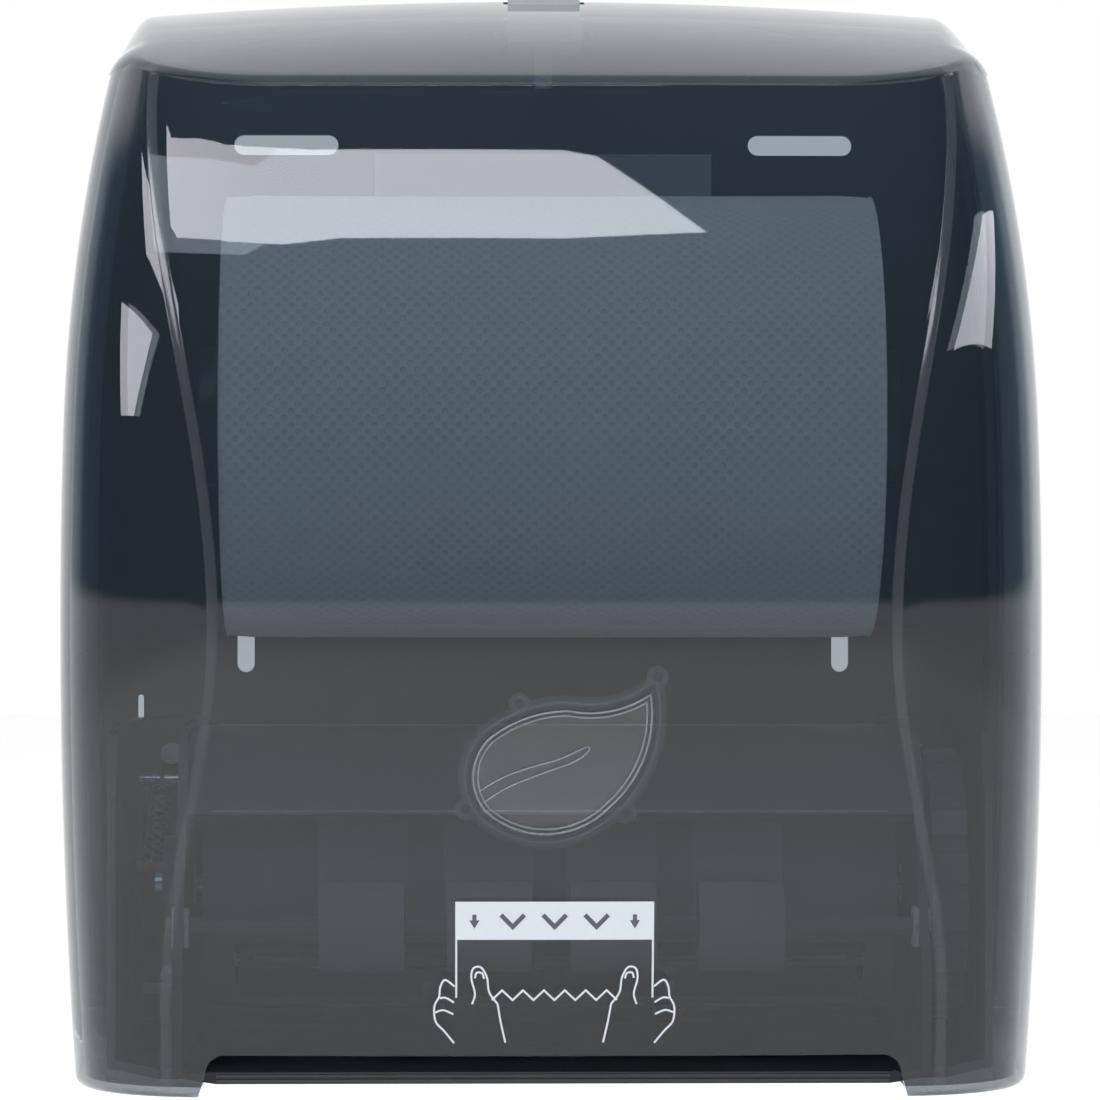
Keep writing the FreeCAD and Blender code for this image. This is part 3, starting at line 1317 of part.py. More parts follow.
def make_latch():
    """The latch lever with its thumb tab and hook, its pin, its spring and the ears on the back plate."""
    body = new_body("latch_body")
    sketch = new_sketch(body, "latch_outline", "side", "-latch_half_width")
    nose = "keeper_depth + keeper_wall + 1"
    polygon(sketch, [
        ("latch_depth - 3", "latch_level"), ("latch_depth - 2", "latch_level - 4"),
        ("latch_depth + 4", "latch_level - 8"), (nose + " + 3", "keeper_level - 5"),
        (nose + " + 4", "keeper_level - 3"), (nose + " + 1", "keeper_level - keeper_clearance"),
        (nose, "keeper_level - keeper_clearance"), (nose, "keeper_level - 2.6"),
        ("latch_depth + 7", "keeper_level - 2.6"), ("latch_depth + 3", "latch_level + 1"),
        ("latch_depth + 1", "latch_level + latch_tab_height"),
        ("latch_depth - 2", "latch_level + latch_tab_height")], flip=-1)
    pad(body, "latch_pad", sketch, "2 * latch_half_width")
    span = ("-latch_half_width", "latch_half_width")
    centre = ("latch_depth", "latch_level")
    barrel = rod("latch_barrel", "latch_barrel_radius", "x", span, centre)
    bore = rod("latch_bore", "latch_pin_radius + shaft_fit", "x",
               ("-(latch_half_width + 1)", "latch_half_width + 1"), centre)
    lever = cut("latch_lever", joined("latch_blank", body, barrel), bore)
    ears = []
    for side, name in ((-1, "left"), (1, "right")):
        low, high = "latch_half_width + latch_side_gap", "latch_half_width + latch_side_gap + latch_ear"
        ear_span = (low, high) if side > 0 else ("-(%s)" % high, "-(%s)" % low)
        through = ("%s - 1" % ear_span[0], "%s + 1" % ear_span[1])
        block = box("%s_ear_block" % name, ear_span, ("plate_wall", "latch_depth"),
                    ("latch_level - latch_barrel_radius - 4", "latch_level + latch_barrel_radius / 2"))
        nose_rod = rod("%s_ear_nose" % name, "latch_barrel_radius", "x", ear_span, centre)
        ears.append(cut("%s_latch_ear" % name, joined("%s_ear_blank" % name, block, nose_rod),
                        rod("%s_ear_bore" % name, "latch_pin_radius", "x", through, centre)))
    reach = "latch_half_width + latch_side_gap + latch_ear + 0.5"
    pin = rod("latch_pin", "latch_pin_radius", "x", ("-(%s)" % reach, reach), centre)
    spring = box("latch_spring", ("-3", "3"), ("plate_wall", "plate_wall + 0.6"),
                 ("keeper_level - 16", "latch_level + 2"))
    return [lever, group("latch_ears", *ears), pin, spring]


def make_hinge_pins():
    """The pins on the wings that the cover turns on."""
    pins = []
    for side, name in ((-1, "left"), (1, "right")):
        span = ("wing_x", "wing_x + hinge_pin_reach")
        span = span if side > 0 else ("-(%s)" % span[1], "-(%s)" % span[0])
        pins.append(rod("%s_hinge_pin" % name, "hinge_pin_radius", "x", span, ("hinge_depth", "hinge_level")))
    return group("hinge_pins", *pins)


def make_frame_screws():
    """The screws that hold the side frames to the back plate: shank in the web, head in front of it."""
    screws = []
    for number, (x, level) in enumerate(frame_screw_places()):
        face = "plate_lip + frame_wall"
        head = rod("screw_head_%d" % number, "screw_head_radius", "y",
                   (face, face + " + screw_head_height"), (x, level))
        screws.append(head)
    return group("frame_screws", *screws)


LEAF = leaf_sketch()
PARTS = [make_cover(LEAF), *make_window(LEAF), make_keeper(), make_back_plate(), make_label(),
         make_side_frame("left_side_frame", -1), make_side_frame("right_side_frame", 1), make_bearings(),
         make_hood(), make_deck(), make_drum_half("drum_front_half", -90, 90, True),
         make_drum_half("drum_rear_half", 90, 270, False), make_grips(), make_drum_caps(), make_shaft(),
         make_crank(), make_hand_wheel(), *make_knife(), *make_pinch_rollers(), *make_saddles(),
         *make_drive_spring(), *make_roll(), make_roll_arm("left_roll_arm", -1),
         make_roll_arm("right_roll_arm", 1), *make_arm_brackets(), *make_latch(), make_hinge_pins(),
         make_frame_screws()]
doc.recompute()

for item in doc.Objects:
    if any(word in item.State for word in ("Invalid", "Error")):
        raise SystemExit("%s could not be made: %s" % (item.Name, item.State))
for item in PARTS:
    if item.Shape.isNull() or not item.Shape.isValid() or not item.Shape.Solids:
        raise SystemExit("%s has no valid solid" % item.Name)
for item in PARTS:
    item.Shape.exportStep("parts/%s.step" % item.Label)
    print("%-20s solids %d volume %.0f" % (item.Label, len(item.Shape.Solids), item.Shape.Volume))
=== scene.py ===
"""Looks of a wall-hung roll towel dispenser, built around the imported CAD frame.

The see-through cover, the clear level window, the roll and the feed mechanism behind them take
procedural finishes. The embossed roll, the print on the cover and the small moulded details are
meshes made here. Every length is in metres, in the frame's own axes: X to the right, the wall is
the plane y = 0 and the front faces -Y, Z is up.
"""
import logging
import math
import random
from dataclasses import dataclass, field
from enum import Enum
from functools import lru_cache
from typing import Iterable, Sequence

import bmesh
import bpy
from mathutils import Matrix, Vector

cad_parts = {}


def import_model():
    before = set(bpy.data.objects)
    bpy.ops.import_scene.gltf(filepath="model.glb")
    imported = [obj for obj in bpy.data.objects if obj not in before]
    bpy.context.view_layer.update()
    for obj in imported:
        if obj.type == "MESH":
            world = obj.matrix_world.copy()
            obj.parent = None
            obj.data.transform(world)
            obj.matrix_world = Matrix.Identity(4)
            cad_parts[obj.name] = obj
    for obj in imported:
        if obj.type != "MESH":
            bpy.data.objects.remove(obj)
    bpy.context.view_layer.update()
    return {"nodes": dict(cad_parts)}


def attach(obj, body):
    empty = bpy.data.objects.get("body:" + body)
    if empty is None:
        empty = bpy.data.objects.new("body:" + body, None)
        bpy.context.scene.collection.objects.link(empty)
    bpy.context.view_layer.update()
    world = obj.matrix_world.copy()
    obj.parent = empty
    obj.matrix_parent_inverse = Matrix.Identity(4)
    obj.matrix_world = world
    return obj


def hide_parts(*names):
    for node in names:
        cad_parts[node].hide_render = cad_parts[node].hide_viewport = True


LOG = logging.getLogger("dispenser")
MM = 0.001
IMAGE_SIDE = 1100.0
ROLL_DEPTH, ROLL_LEVEL = 0.107, 0.034
HINGE_DEPTH, HINGE_LEVEL = 16.0, -163.0
LIT_MIDDLE = (0.0, -0.2, 0.05)

Point = tuple[float, float, float]
Colour = tuple[float, float, float]


# Small helpers

def turns(count: int) -> list[float]:
    """Evenly spaced angles round a full turn, in radians."""
    return [math.tau * step / count for step in range(count)]


def hang(name: str, data: bpy.types.ID) -> bpy.types.Object:
    """Make an object of its data and put it in the scene."""
    made = bpy.data.objects.new(name, data)
    bpy.context.scene.collection.objects.link(made)
    return made


def mesh_of(name: str, points: Sequence[Point], faces: Sequence[Sequence[int]]) -> bpy.types.Mesh:
    """A mesh of points and faces."""
    mesh = bpy.data.meshes.new(name)
    mesh.from_pydata(points, [], faces)
    return mesh


# Shader maths

class Field:
    """A number or colour that a node gives; operators on it add Math nodes."""

    def __init__(self, graph: "Graph", socket: bpy.types.NodeSocket) -> None:
        """Wrap a socket of a graph."""
        self.graph = graph
        self.socket = socket

    def _math(self, operation: str, *values: "Field | float") -> "Field":
        """Add a Math node and return its result."""
        return self.graph.node("ShaderNodeMath", {"operation": operation}, dict(enumerate(values)))

    def __add__(self, other: "Field | float") -> "Field":
        """Sum."""
        return self._math("ADD", self, other)

    __radd__ = __add__

    def __sub__(self, other: "Field | float") -> "Field":
        """Difference."""
        return self._math("SUBTRACT", self, other)

    def __rsub__(self, other: float) -> "Field":
        """Difference from a number."""
        return self._math("SUBTRACT", other, self)

    def __mul__(self, other: "Field | float") -> "Field":
        """Product."""
        return self._math("MULTIPLY", self, other)

    __rmul__ = __mul__

    def __pow__(self, other: float) -> "Field":
        """Power."""
        return self._math("POWER", self, other)

    def sine(self) -> "Field":
        """Sine, of radians."""
        return self._math("SINE", self)

    def most(self, other: "Field | float") -> "Field":
        """The larger of two."""
        return self._math("MAXIMUM", self, other)

    def eased(self, low: float, high: float) -> "Field":
        """A smooth step from 0 at low to 1 at high; high may lie below low."""
        swap = low > high
        step = self.graph.node(
            "ShaderNodeMapRange", {"interpolation_type": "SMOOTHSTEP"},
            {"Value": self, "From Min": min(low, high), "From Max": max(low, high)})
        return 1.0 - step if swap else step


class Graph:
    """The node tree of one material or of the world."""

    def __init__(self, tree: bpy.types.NodeTree) -> None:
        """Take over a tree and empty it."""
        self.tree = tree
        tree.nodes.clear()

    def node(self, kind: str, settings: dict | None = None, sockets: dict | None = None,
             give: str | int = 0) -> Field:
        """Add a node.

        Args:
            kind: The node's type name.
            settings: Its own settings; "stops" holds a ramp's (place, colour) pairs.
            sockets: Values or fields for its inputs, by name or number.
            give: The output to return.

        Returns:
            The chosen output as a Field.
        """
        made = self.tree.nodes.new(kind)
        for name, value in (settings or {}).items():
            if name == "stops":
                self._set_stops(made.color_ramp, value)
            else:
                setattr(made, name, value)
        for name, value in (sockets or {}).items():
            socket = made.inputs[name]
            if isinstance(value, Field):
                self.tree.links.new(value.socket, socket)
            elif isinstance(value, tuple) and len(value) == 3 and socket.type == "RGBA":
                socket.default_value = (*value, 1.0)
            else:
                socket.default_value = value
        return Field(self, made.outputs[give])

    @staticmethod
    def _set_stops(ramp: bpy.types.ColorRamp, stops: Sequence[tuple[float, Colour]]) -> None:
        """Give a ramp its stops."""
        while len(ramp.elements) < len(stops):
            ramp.elements.new(0.5)
        for element, (place, colour) in zip(ramp.elements, stops):
            element.position = place
            element.color = (*colour, 1.0)

    def place(self) -> Field:
        """Position on the object, in metres."""
        return self.node("ShaderNodeTexCoord", give="Object")

    def parts(self, vector: Field) -> tuple[Field, Field, Field]:
        """The three numbers of a vector."""
        split = self.node("ShaderNodeSeparateXYZ", sockets={0: vector})
        outputs = split.socket.node.outputs
        return Field(self, outputs[0]), Field(self, outputs[1]), Field(self, outputs[2])

    def noise(self, scale: float, detail: float = 3.0, vector: Field | None = None,
              stretch: Point = (1.0, 1.0, 1.0)) -> Field:
        """Noise of a given number of cells per metre, from 0 to 1."""
        where = self.node("ShaderNodeVectorMath", {"operation": "MULTIPLY"},
                          {0: vector or self.place(), 1: stretch})
        return self.node("ShaderNodeTexNoise", {"noise_dimensions": "3D"},
                         {"Vector": where, "Scale": scale, "Detail": detail})

    def blend(self, share: Field | float, low: Field | Colour, high: Field | Colour) -> Field:
        """Mix two colours."""
        return self.node("ShaderNodeMix", {"data_type": "RGBA"},
                         {"Factor": share, 6: low, 7: high}, give=2)

    def seen(self) -> Field:
        """1 for what the camera, gloss or clear plastic shows, 0 for light on other surfaces."""
        rays = [self.node("ShaderNodeLightPath", give=kind)
                for kind in ("Is Camera Ray", "Is Glossy Ray", "Is Transmission Ray")]
        return rays[0].most(rays[1]).most(rays[2])

    def bump(self, height: Field, distance: float, strength: float = 1.0) -> Field:
        """A normal from a height of 0 to 1 that stands for a distance in metres."""
        return self.node("ShaderNodeBump", None,
                         {"Height": height, "Distance": distance, "Strength": strength})

    def finish(self, shader: Field, output: str = "ShaderNodeOutputMaterial") -> None:
        """Send a shader to the output."""
        end = self.tree.nodes.new(output)
        self.tree.links.new(shader.socket, end.inputs["Surface"])


# Finishes

def fresh_material(name: str) -> tuple[bpy.types.Material, Graph]:
    """A new material and its empty graph."""
    material = bpy.data.materials.new(name)
    material.use_nodes = True
    return material, Graph(material.node_tree)


def tinted(colour: Colour, share: float) -> Colour:
    """A colour made lighter or darker by a share."""
    return tuple(min(max(part * share, 0.0), 1.0) for part in colour)


@dataclass(frozen=True)
class Finish:
    """A finish that dresses pieces; each kind builds its own node tree."""

    name: str

    def fill(self, graph: Graph) -> None:
        """Add the nodes of this finish."""
        raise NotImplementedError

    def material(self) -> bpy.types.Material:
        """The material of this finish, made once."""
        known = bpy.data.materials.get(self.name)
        if known:
            return known
        material, graph = fresh_material(self.name)
        self.fill(graph)
        return material


@dataclass(frozen=True)
class Moulding(Finish):
    """Moulded plastic: fine spark-eroded grain, slow colour drift and a little dust."""

    colour: Colour = (0.05, 0.05, 0.05)
    roughness: float = 0.45
    grain_cells: float = 2600.0
    grain_height: float = 0.00004
    drift: float = 0.12
    dust: float = 0.025

    def fill(self, graph: Graph) -> None:
        """Build the plastic."""
        grain = graph.noise(self.grain_cells, 2.0)
        drift = graph.noise(22.0, 4.0)
        dust = graph.noise(140.0, 5.0).eased(0.52, 0.75)
        base = graph.blend(drift, tinted(self.colour, 1 - self.drift), tinted(self.colour, 1 + self.drift))
        colour = graph.blend(dust * self.dust, base, (0.62, 0.62, 0.60))
        rough = (drift - 0.5) * 0.12 + dust * 0.10 + self.roughness
        graph.finish(graph.node("ShaderNodeBsdfPrincipled", None, {
            "Base Color": colour, "Roughness": rough, "IOR": 1.49,
            "Normal": graph.bump(grain, self.grain_height)}))


@dataclass(frozen=True)
class Rubber(Finish):
    """Soft roller rubber with fine grinding lines across it."""

    colour: Colour = (0.16, 0.165, 0.17)

    def fill(self, graph: Graph) -> None:
        """Build the rubber."""
        lines = graph.noise(900.0, 3.0, stretch=(6.0, 1.0, 1.0))
        scuff = graph.noise(60.0, 5.0)
        colour = graph.blend(scuff, tinted(self.colour, 0.85), tinted(self.colour, 1.18))
        graph.finish(graph.node("ShaderNodeBsdfPrincipled", None, {
            "Base Color": colour, "Roughness": (scuff - 0.5) * 0.14 + 0.74, "IOR": 1.5,
            "Normal": graph.bump(lines, 0.00003)}))


@dataclass(frozen=True)
class Steel(Finish):
    """Drawn or ground steel with lines along one axis."""

    colour: Colour = (0.60, 0.61, 0.62)
    roughness: float = 0.28
    stretch: Point = (0.05, 1.0, 1.0)

    def fill(self, graph: Graph) -> None:
        """Build the metal."""
        lines = graph.noise(4200.0, 3.0, stretch=self.stretch)
        stain = graph.noise(90.0, 4.0)
        colour = graph.blend(stain, tinted(self.colour, 0.88), tinted(self.colour, 1.08))
        graph.finish(graph.node("ShaderNodeBsdfPrincipled", None, {
            "Base Color": colour, "Metallic": 1.0,
            "Roughness": (lines - 0.5) * 0.20 + (stain - 0.5) * 0.12 + self.roughness,
            "Normal": graph.bump(lines, 0.00001)}))


@dataclass(frozen=True)
class Smoke(Finish):
    """Smoked clear plastic: a tinted see-through wall, a sharp gloss and a faint haze in the body."""

    through: Colour = (0.55, 0.58, 0.60)
    haze_colour: Colour = (0.10, 0.115, 0.13)
    haze: float = 0.038
    index: float = 1.47
    roughness: float = 0.018

    def fill(self, graph: Graph) -> None:
        """Build the see-through wall from one face's share of the tint."""
        ripple = graph.noise(7.0, 0.0)
        normal = graph.bump(ripple, 0.0004, 0.05)
        clear = graph.node("ShaderNodeBsdfTransparent", None, {"Color": self.through})
        body = graph.node("ShaderNodeBsdfDiffuse", None, {"Color": self.haze_colour})
        wall = graph.node("ShaderNodeMixShader", None, {0: self.haze, 1: clear, 2: body})
        gloss = graph.node("ShaderNodeBsdfGlossy", None,
                           {"Color": (1.0, 1.0, 1.0), "Roughness": self.roughness, "Normal": normal})
        straight = ((self.index - 1) / (self.index + 1)) ** 2
        facing = graph.node("ShaderNodeLayerWeight", None, {"Blend": 0.5}, give="Facing")
        share = facing ** 5 * (1 - straight) + straight
        graph.finish(graph.node("ShaderNodeMixShader", None, {0: share, 1: wall, 2: gloss}))


@dataclass(frozen=True)
class Emboss(Finish):
    """Creped paper towel pressed with a close pattern of small dimples, with painted shade in the dimples."""

    colour: Colour = (0.84, 0.85, 0.86)
    pitch: float = 0.0042
    radius: float = 0.070

    def fill(self, graph: Graph) -> None:
        """Build the paper: dimples follow the roll's width and its turn."""
        where = graph.node("ShaderNodeUVMap", None)
        u, v, _ = graph.parts(where)
        along = (u * (math.tau / self.pitch)).sine()
        around = (v * (math.tau / self.pitch)).sine()
        dimple = (along * around).eased(0.05, 0.9)
        fibre = graph.noise(3200.0, 4.0)
        crepe = graph.noise(700.0, 3.0, stretch=(0.3, 1.0, 1.0))
        tone = graph.noise(18.0, 3.0)
        colour = graph.blend(tone, tinted(self.colour, 0.94), tinted(self.colour, 1.03))
        # The dimples are also painted darker: painted shade in the pressed recesses, besides their bump.
        colour = graph.blend(dimple * 0.35, colour, tinted(self.colour, 0.78))
        height = (1.0 - dimple) * 0.7 + fibre * 0.18 + crepe * 0.25
        graph.finish(graph.node("ShaderNodeBsdfPrincipled", None, {
            "Base Color": colour, "Roughness": 0.92 - fibre * 0.06, "IOR": 1.4,
            "Normal": graph.bump(height, 0.00035)}))


@dataclass(frozen=True)
class WoundPaper(Finish):
    """The end of a roll: hundreds of paper edges seen side on, with painted shade between them."""

    colour: Colour = (0.78, 0.79, 0.80)
    pitch: float = 0.00062

    def fill(self, graph: Graph) -> None:
        """Build rings about the roll's axis."""
        _, y, z = graph.parts(graph.place())
        radius = ((y + ROLL_DEPTH) ** 2.0 + (z - ROLL_LEVEL) ** 2.0) ** 0.5
        wander = graph.noise(40.0, 2.0) * 0.0016
        rings = ((radius + wander) * (math.tau / self.pitch)).sine() * 0.5 + 0.5
        bands = graph.noise(1.0, 2.0, vector=graph.node("ShaderNodeCombineXYZ", None, {0: radius * 900.0}))
        # Colour follows the rings: darker in the grooves between paper edges, which is painted shade; the
        # broad bands are random tone.
        colour = graph.blend(rings * 0.5 + bands * 0.5, tinted(self.colour, 0.72), tinted(self.colour, 1.04))
        graph.finish(graph.node("ShaderNodeBsdfPrincipled", None, {
            "Base Color": colour, "Roughness": 0.95, "Normal": graph.bump(rings, 0.0002)}))


@dataclass(frozen=True)
class Cardboard(Finish):
    """Grey-brown board wound in a spiral, with a seam every turn."""

    colour: Colour = (0.42, 0.31, 0.20)
    spiral: float = 0.07

    def fill(self, graph: Graph) -> None:
        """Build the board."""
        x, y, z = graph.parts(graph.place())
        turn = graph.node("ShaderNodeMath", {"operation": "ARCTAN2"}, {0: z - ROLL_LEVEL, 1: y + ROLL_DEPTH})
        seam = ((x * (math.tau / self.spiral) + turn).sine()).eased(0.985, 0.999)
        fibre = graph.noise(520.0, 5.0)
        colour = graph.blend(fibre, tinted(self.colour, 0.82), tinted(self.colour, 1.15))
        colour = graph.blend(seam * 0.6, colour, tinted(self.colour, 0.5))
        graph.finish(graph.node("ShaderNodeBsdfPrincipled", None, {
            "Base Color": colour, "Roughness": 0.88,
            "Normal": graph.bump(fibre * 0.4 + (1.0 - seam) * 0.6, 0.00015)}))


@dataclass(frozen=True)
class Ink(Finish):
    """Screen-printed ink, very slightly uneven in cover."""

    colour: Colour = (0.82, 0.83, 0.84)
    roughness: float = 0.38

    def fill(self, graph: Graph) -> None:
        """Build the ink."""
        cover = graph.noise(900.0, 4.0)
        tone = graph.noise(60.0, 2.0)
        colour = graph.blend(cover * 0.6 + tone * 0.4, tinted(self.colour, 0.95), tinted(self.colour, 1.03))
        graph.finish(graph.node("ShaderNodeBsdfPrincipled", None, {
            "Base Color": colour, "Roughness": cover * 0.15 + self.roughness,
            "Normal": graph.bump(cover, 0.00001)}))


class Dress(Enum):
    """The finishes of the object's pieces."""

    COVER = Smoke("smoked_cover_wall", through=(0.59, 0.63, 0.66))
    SATIN = Smoke("satin_cover_band", through=(0.59, 0.63, 0.66), haze_colour=(0.24, 0.26, 0.28), haze=0.14,
                  roughness=0.16)
    LENS = Smoke("clear_lens_wall", through=(0.93, 0.94, 0.95), haze_colour=(0.42, 0.47, 0.52),
                 haze=0.035, roughness=0.02)
    FLANGE = Smoke("flange_haze", through=(0.88, 0.91, 0.94), haze_colour=(0.40, 0.46, 0.52), haze=0.34,
                   roughness=0.10)
    # Pale beige moulding for beads on the hood's edges: a painted highlight along them.
    PAINTED_HIGHLIGHT_EDGE = Moulding("painted_highlight_edge_moulding", colour=(0.26, 0.25, 0.235), roughness=0.30)
    # Clear beads with a pale haze: the haze is a painted highlight along the window's rims and rib, on top of
    # their real gloss.
    HIGHLIGHT_BEAD = Smoke("clear_rim_bead_painted_highlight", through=(0.80, 0.83, 0.86), haze_colour=(0.50, 0.55, 0.60),
                 haze=0.30, roughness=0.06)
    STAKE = Smoke("smoked_stake", through=(0.7, 0.72, 0.74), haze=0.3)
    CHASSIS = Moulding("chassis_moulding", colour=(0.030, 0.034, 0.040), roughness=0.42, drift=0.04)
    MECHANISM = Moulding("mechanism_moulding", colour=(0.046, 0.047, 0.051), roughness=0.38)
    BUSH = Moulding("bush_moulding", colour=(0.62, 0.61, 0.57), roughness=0.35)
    DRUM = Moulding("drum_moulding", colour=(0.09, 0.095, 0.105), roughness=0.38)
    ARM = Moulding("arm_moulding", colour=(0.04, 0.045, 0.052), roughness=0.40)
    LATCH = Moulding("latch_moulding", colour=(0.46, 0.48, 0.48), roughness=0.36)
    RUBBER = Rubber("roller_rubber", colour=(0.15, 0.16, 0.17))
    STEEL = Steel("drawn_steel")
    BLADE = Steel("ground_steel", colour=(0.66, 0.67, 0.68), roughness=0.22, stretch=(1.0, 0.05, 0.05))
    SPRING = Steel("spring_wire", colour=(0.50, 0.50, 0.51), roughness=0.3)
    PAPER = Emboss("embossed_towel")
    EDGE = WoundPaper("wound_towel_edge")
    BOARD = Cardboard("spiral_board")
    LABEL = Ink("label_sheet", colour=(0.30, 0.32, 0.34), roughness=0.5)
    INK = Ink("cover_print", colour=(0.80, 0.86, 0.93))
    MARK = Ink("cover_print_marks", colour=(0.10, 0.11, 0.125))
    AXLE = Moulding("axle_moulding", colour=(0.07, 0.072, 0.078), roughness=0.45)


NODE_DRESS: dict[str, Dress] = {
    "cover_shell": Dress.COVER, "window_lens": Dress.LENS, "window_stakes": Dress.STAKE,
    "latch_keeper": Dress.STEEL, "back_plate": Dress.CHASSIS, "loading_label": Dress.LABEL,
    "left_side_frame": Dress.MECHANISM, "right_side_frame": Dress.MECHANISM, "drum_bearings": Dress.BUSH,
    "mechanism_hood": Dress.MECHANISM, "exit_deck": Dress.MECHANISM, "axle_saddles": Dress.BUSH,
    "saddle_springs": Dress.SPRING, "drive_spring": Dress.SPRING, "spring_post": Dress.STEEL,
    "arm_lugs": Dress.CHASSIS, "arm_pins": Dress.STEEL, "latch_ears": Dress.CHASSIS,
    "latch_pin": Dress.STEEL, "latch_spring": Dress.SPRING, "hinge_pins": Dress.MECHANISM,
    "frame_screws": Dress.STEEL, "latch_lever": Dress.LATCH, "paper_roll": Dress.PAPER,
    "roll_core": Dress.BOARD, "left_roll_arm": Dress.ARM, "right_roll_arm": Dress.ARM,
    "drum_front_half": Dress.DRUM, "drum_rear_half": Dress.DRUM, "drum_grips": Dress.RUBBER,
    "drum_caps": Dress.DRUM, "drum_shaft": Dress.STEEL, "drive_crank": Dress.DRUM,
    "hand_wheel": Dress.DRUM, "knife_carrier": Dress.DRUM, "knife_blade": Dress.BLADE,
    "knife_pins": Dress.STEEL, "pinch_axle": Dress.AXLE, "pinch_rollers": Dress.RUBBER,
}


# Mesh making

class Draft:
    """Points and faces of a piece while it is made."""

    def __init__(self) -> None:
        """Start empty."""
        self.points: list[Point] = []
        self.faces: list[tuple[int, ...]] = []
        self.corners: list[list[tuple[float, float]]] = []
        self.second: set[int] = set()

    def rows(self, rows: Sequence[Sequence[Point]], closed: bool = False,
             charts: Sequence[Sequence[tuple[float, float]]] | None = None,
             satin: Iterable[int] = ()) -> None:
        """Skin rows of points with four-sided faces.

        Args:
            rows: Rows of equally many points.
            closed: Whether each row's end joins its start.
            charts: A texture place for each point, if the finish needs one.
            satin: The rows whose faces take the piece's second finish.
        """
        first = len(self.points)
        count = len(rows[0])
        others = set(satin)
        self.points += [tuple(point) for row in rows for point in row]
        for upper in range(len(rows) - 1):
            for left in range(count if closed else count - 1):
                right = (left + 1) % count
                cells = [(upper, left), (upper, right), (upper + 1, right), (upper + 1, left)]
                if upper in others:
                    self.second.add(len(self.faces))
                self.faces.append(tuple(first + row * count + place for row, place in cells))
                if charts:
                    self.corners.append([charts[row][place] for row, place in cells])

    def piece(self, name: str, dress: Dress, body: str, slot: str) -> bpy.types.Object:
        """Turn the draft into an object that rides on a body.

        Args:
            name: The piece's name.
            dress: Its finish.
            body: The CAD body it rides on.
            slot: Not used.

        Returns:
            The new object.
        """
        mesh = mesh_of(name, self.points, self.faces)
        if self.corners:
            chart = mesh.uv_layers.new(name="UVMap")
            spread = [place for face in self.corners for place in face]
            for loop, place in zip(chart.data, spread):
                loop.uv = place
        mesh.materials.append(dress.value.material())
        for face in mesh.polygons:
            face.use_smooth = True
            face.material_index = 1 if face.index in self.second else 0
        made = hang(name, mesh)
        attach(made, body)
        LOG.info("made %s with %d faces", name, len(self.faces))
        return made


def weld(piece: bpy.types.Object) -> None:
    """Join points that lie on each other, drop collapsed faces and turn all faces outward."""
    work = bmesh.new()
    work.from_mesh(piece.data)
    bmesh.ops.remove_doubles(work, verts=work.verts, dist=0.000002)
    bmesh.ops.dissolve_degenerate(work, edges=work.edges, dist=0.000001)
    bmesh.ops.recalc_face_normals(work, faces=work.faces)
    work.to_mesh(piece.data)
    work.free()


def prism(name: str, outline: Sequence[Point], along: Point) -> bpy.types.Object:
    """A straight-sided block over a flat outline, in millimetres, that cuts another piece."""
    near = [Vector(point) * MM for point in outline]
    far = [point + Vector(along) * MM for point in near]
    count = len(near)
    sides = [(i, (i + 1) % count, count + (i + 1) % count, count + i) for i in range(count)]
    ends = [tuple(range(count)), tuple(range(2 * count - 1, count - 1, -1))]
    made = hang(name, mesh_of(name, [*near, *far], [*ends, *sides]))
    weld(made)
    return made


def carve(piece: bpy.types.Object, cutters: Sequence[bpy.types.Object]) -> None:
    """Cut blocks from a piece and remove them; edges over 32 degrees stay sharp."""
    for cutter in cutters:
        cut = piece.modifiers.new(cutter.name, "BOOLEAN")
        cut.operation, cut.solver, cut.object = "DIFFERENCE", "EXACT", cutter
    graph = bpy.context.evaluated_depsgraph_get()
    mesh = bpy.data.meshes.new_from_object(piece.evaluated_get(graph))
    piece.modifiers.clear()
    piece.data = mesh
    for cutter in cutters:
        bpy.data.objects.remove(cutter)
    for face in mesh.polygons:
        face.use_smooth = True
    mesh.set_sharp_from_angle(angle=math.radians(32))
    LOG.info("carved %s, %d faces", piece.name, len(mesh.polygons))


# Form of the cover

@dataclass(frozen=True)
class Level:
    """The outline of the cover at one level, in millimetres, for its right half seen from above."""

    corner_x: float
    corner_depth: float
    corner: float
    depth: float
    front: float
    side_turn: float
    front_turn: float

    def on_front(self, share: float, inset: float) -> tuple[float, float]:
        """A point of the bowed front, from the middle at share 0 to the corner at share 1."""
        turn = math.pi / 2 + (self.front_turn - math.pi / 2) * share
        radius = self.front - inset
        return radius * math.cos(turn), self.depth - self.front + radius * math.sin(turn)

    def on_corner(self, turn: float, inset: float) -> tuple[float, float]:
        """A point of the round corner at an angle."""
        radius = self.corner - inset
        return self.corner_x + radius * math.cos(turn), self.corner_depth + radius * math.sin(turn)

    def turn_at(self, x: float, inset: float) -> float:
        """Where the corner crosses a distance from the middle."""
        return math.acos(min((x - self.corner_x) / (self.corner - inset), 1.0))


class Zone(Enum):
    """The stretches of the outline, from the middle of the front to the back of the side."""

    FRONT = "bowed front"
    INNER = "round corner inside the panel's edge"
    BAND = "slanting edge band of the panel"
    OUTER = "round corner outside the panel"
    SIDE = "drafted side"


Station = tuple[Zone, float]


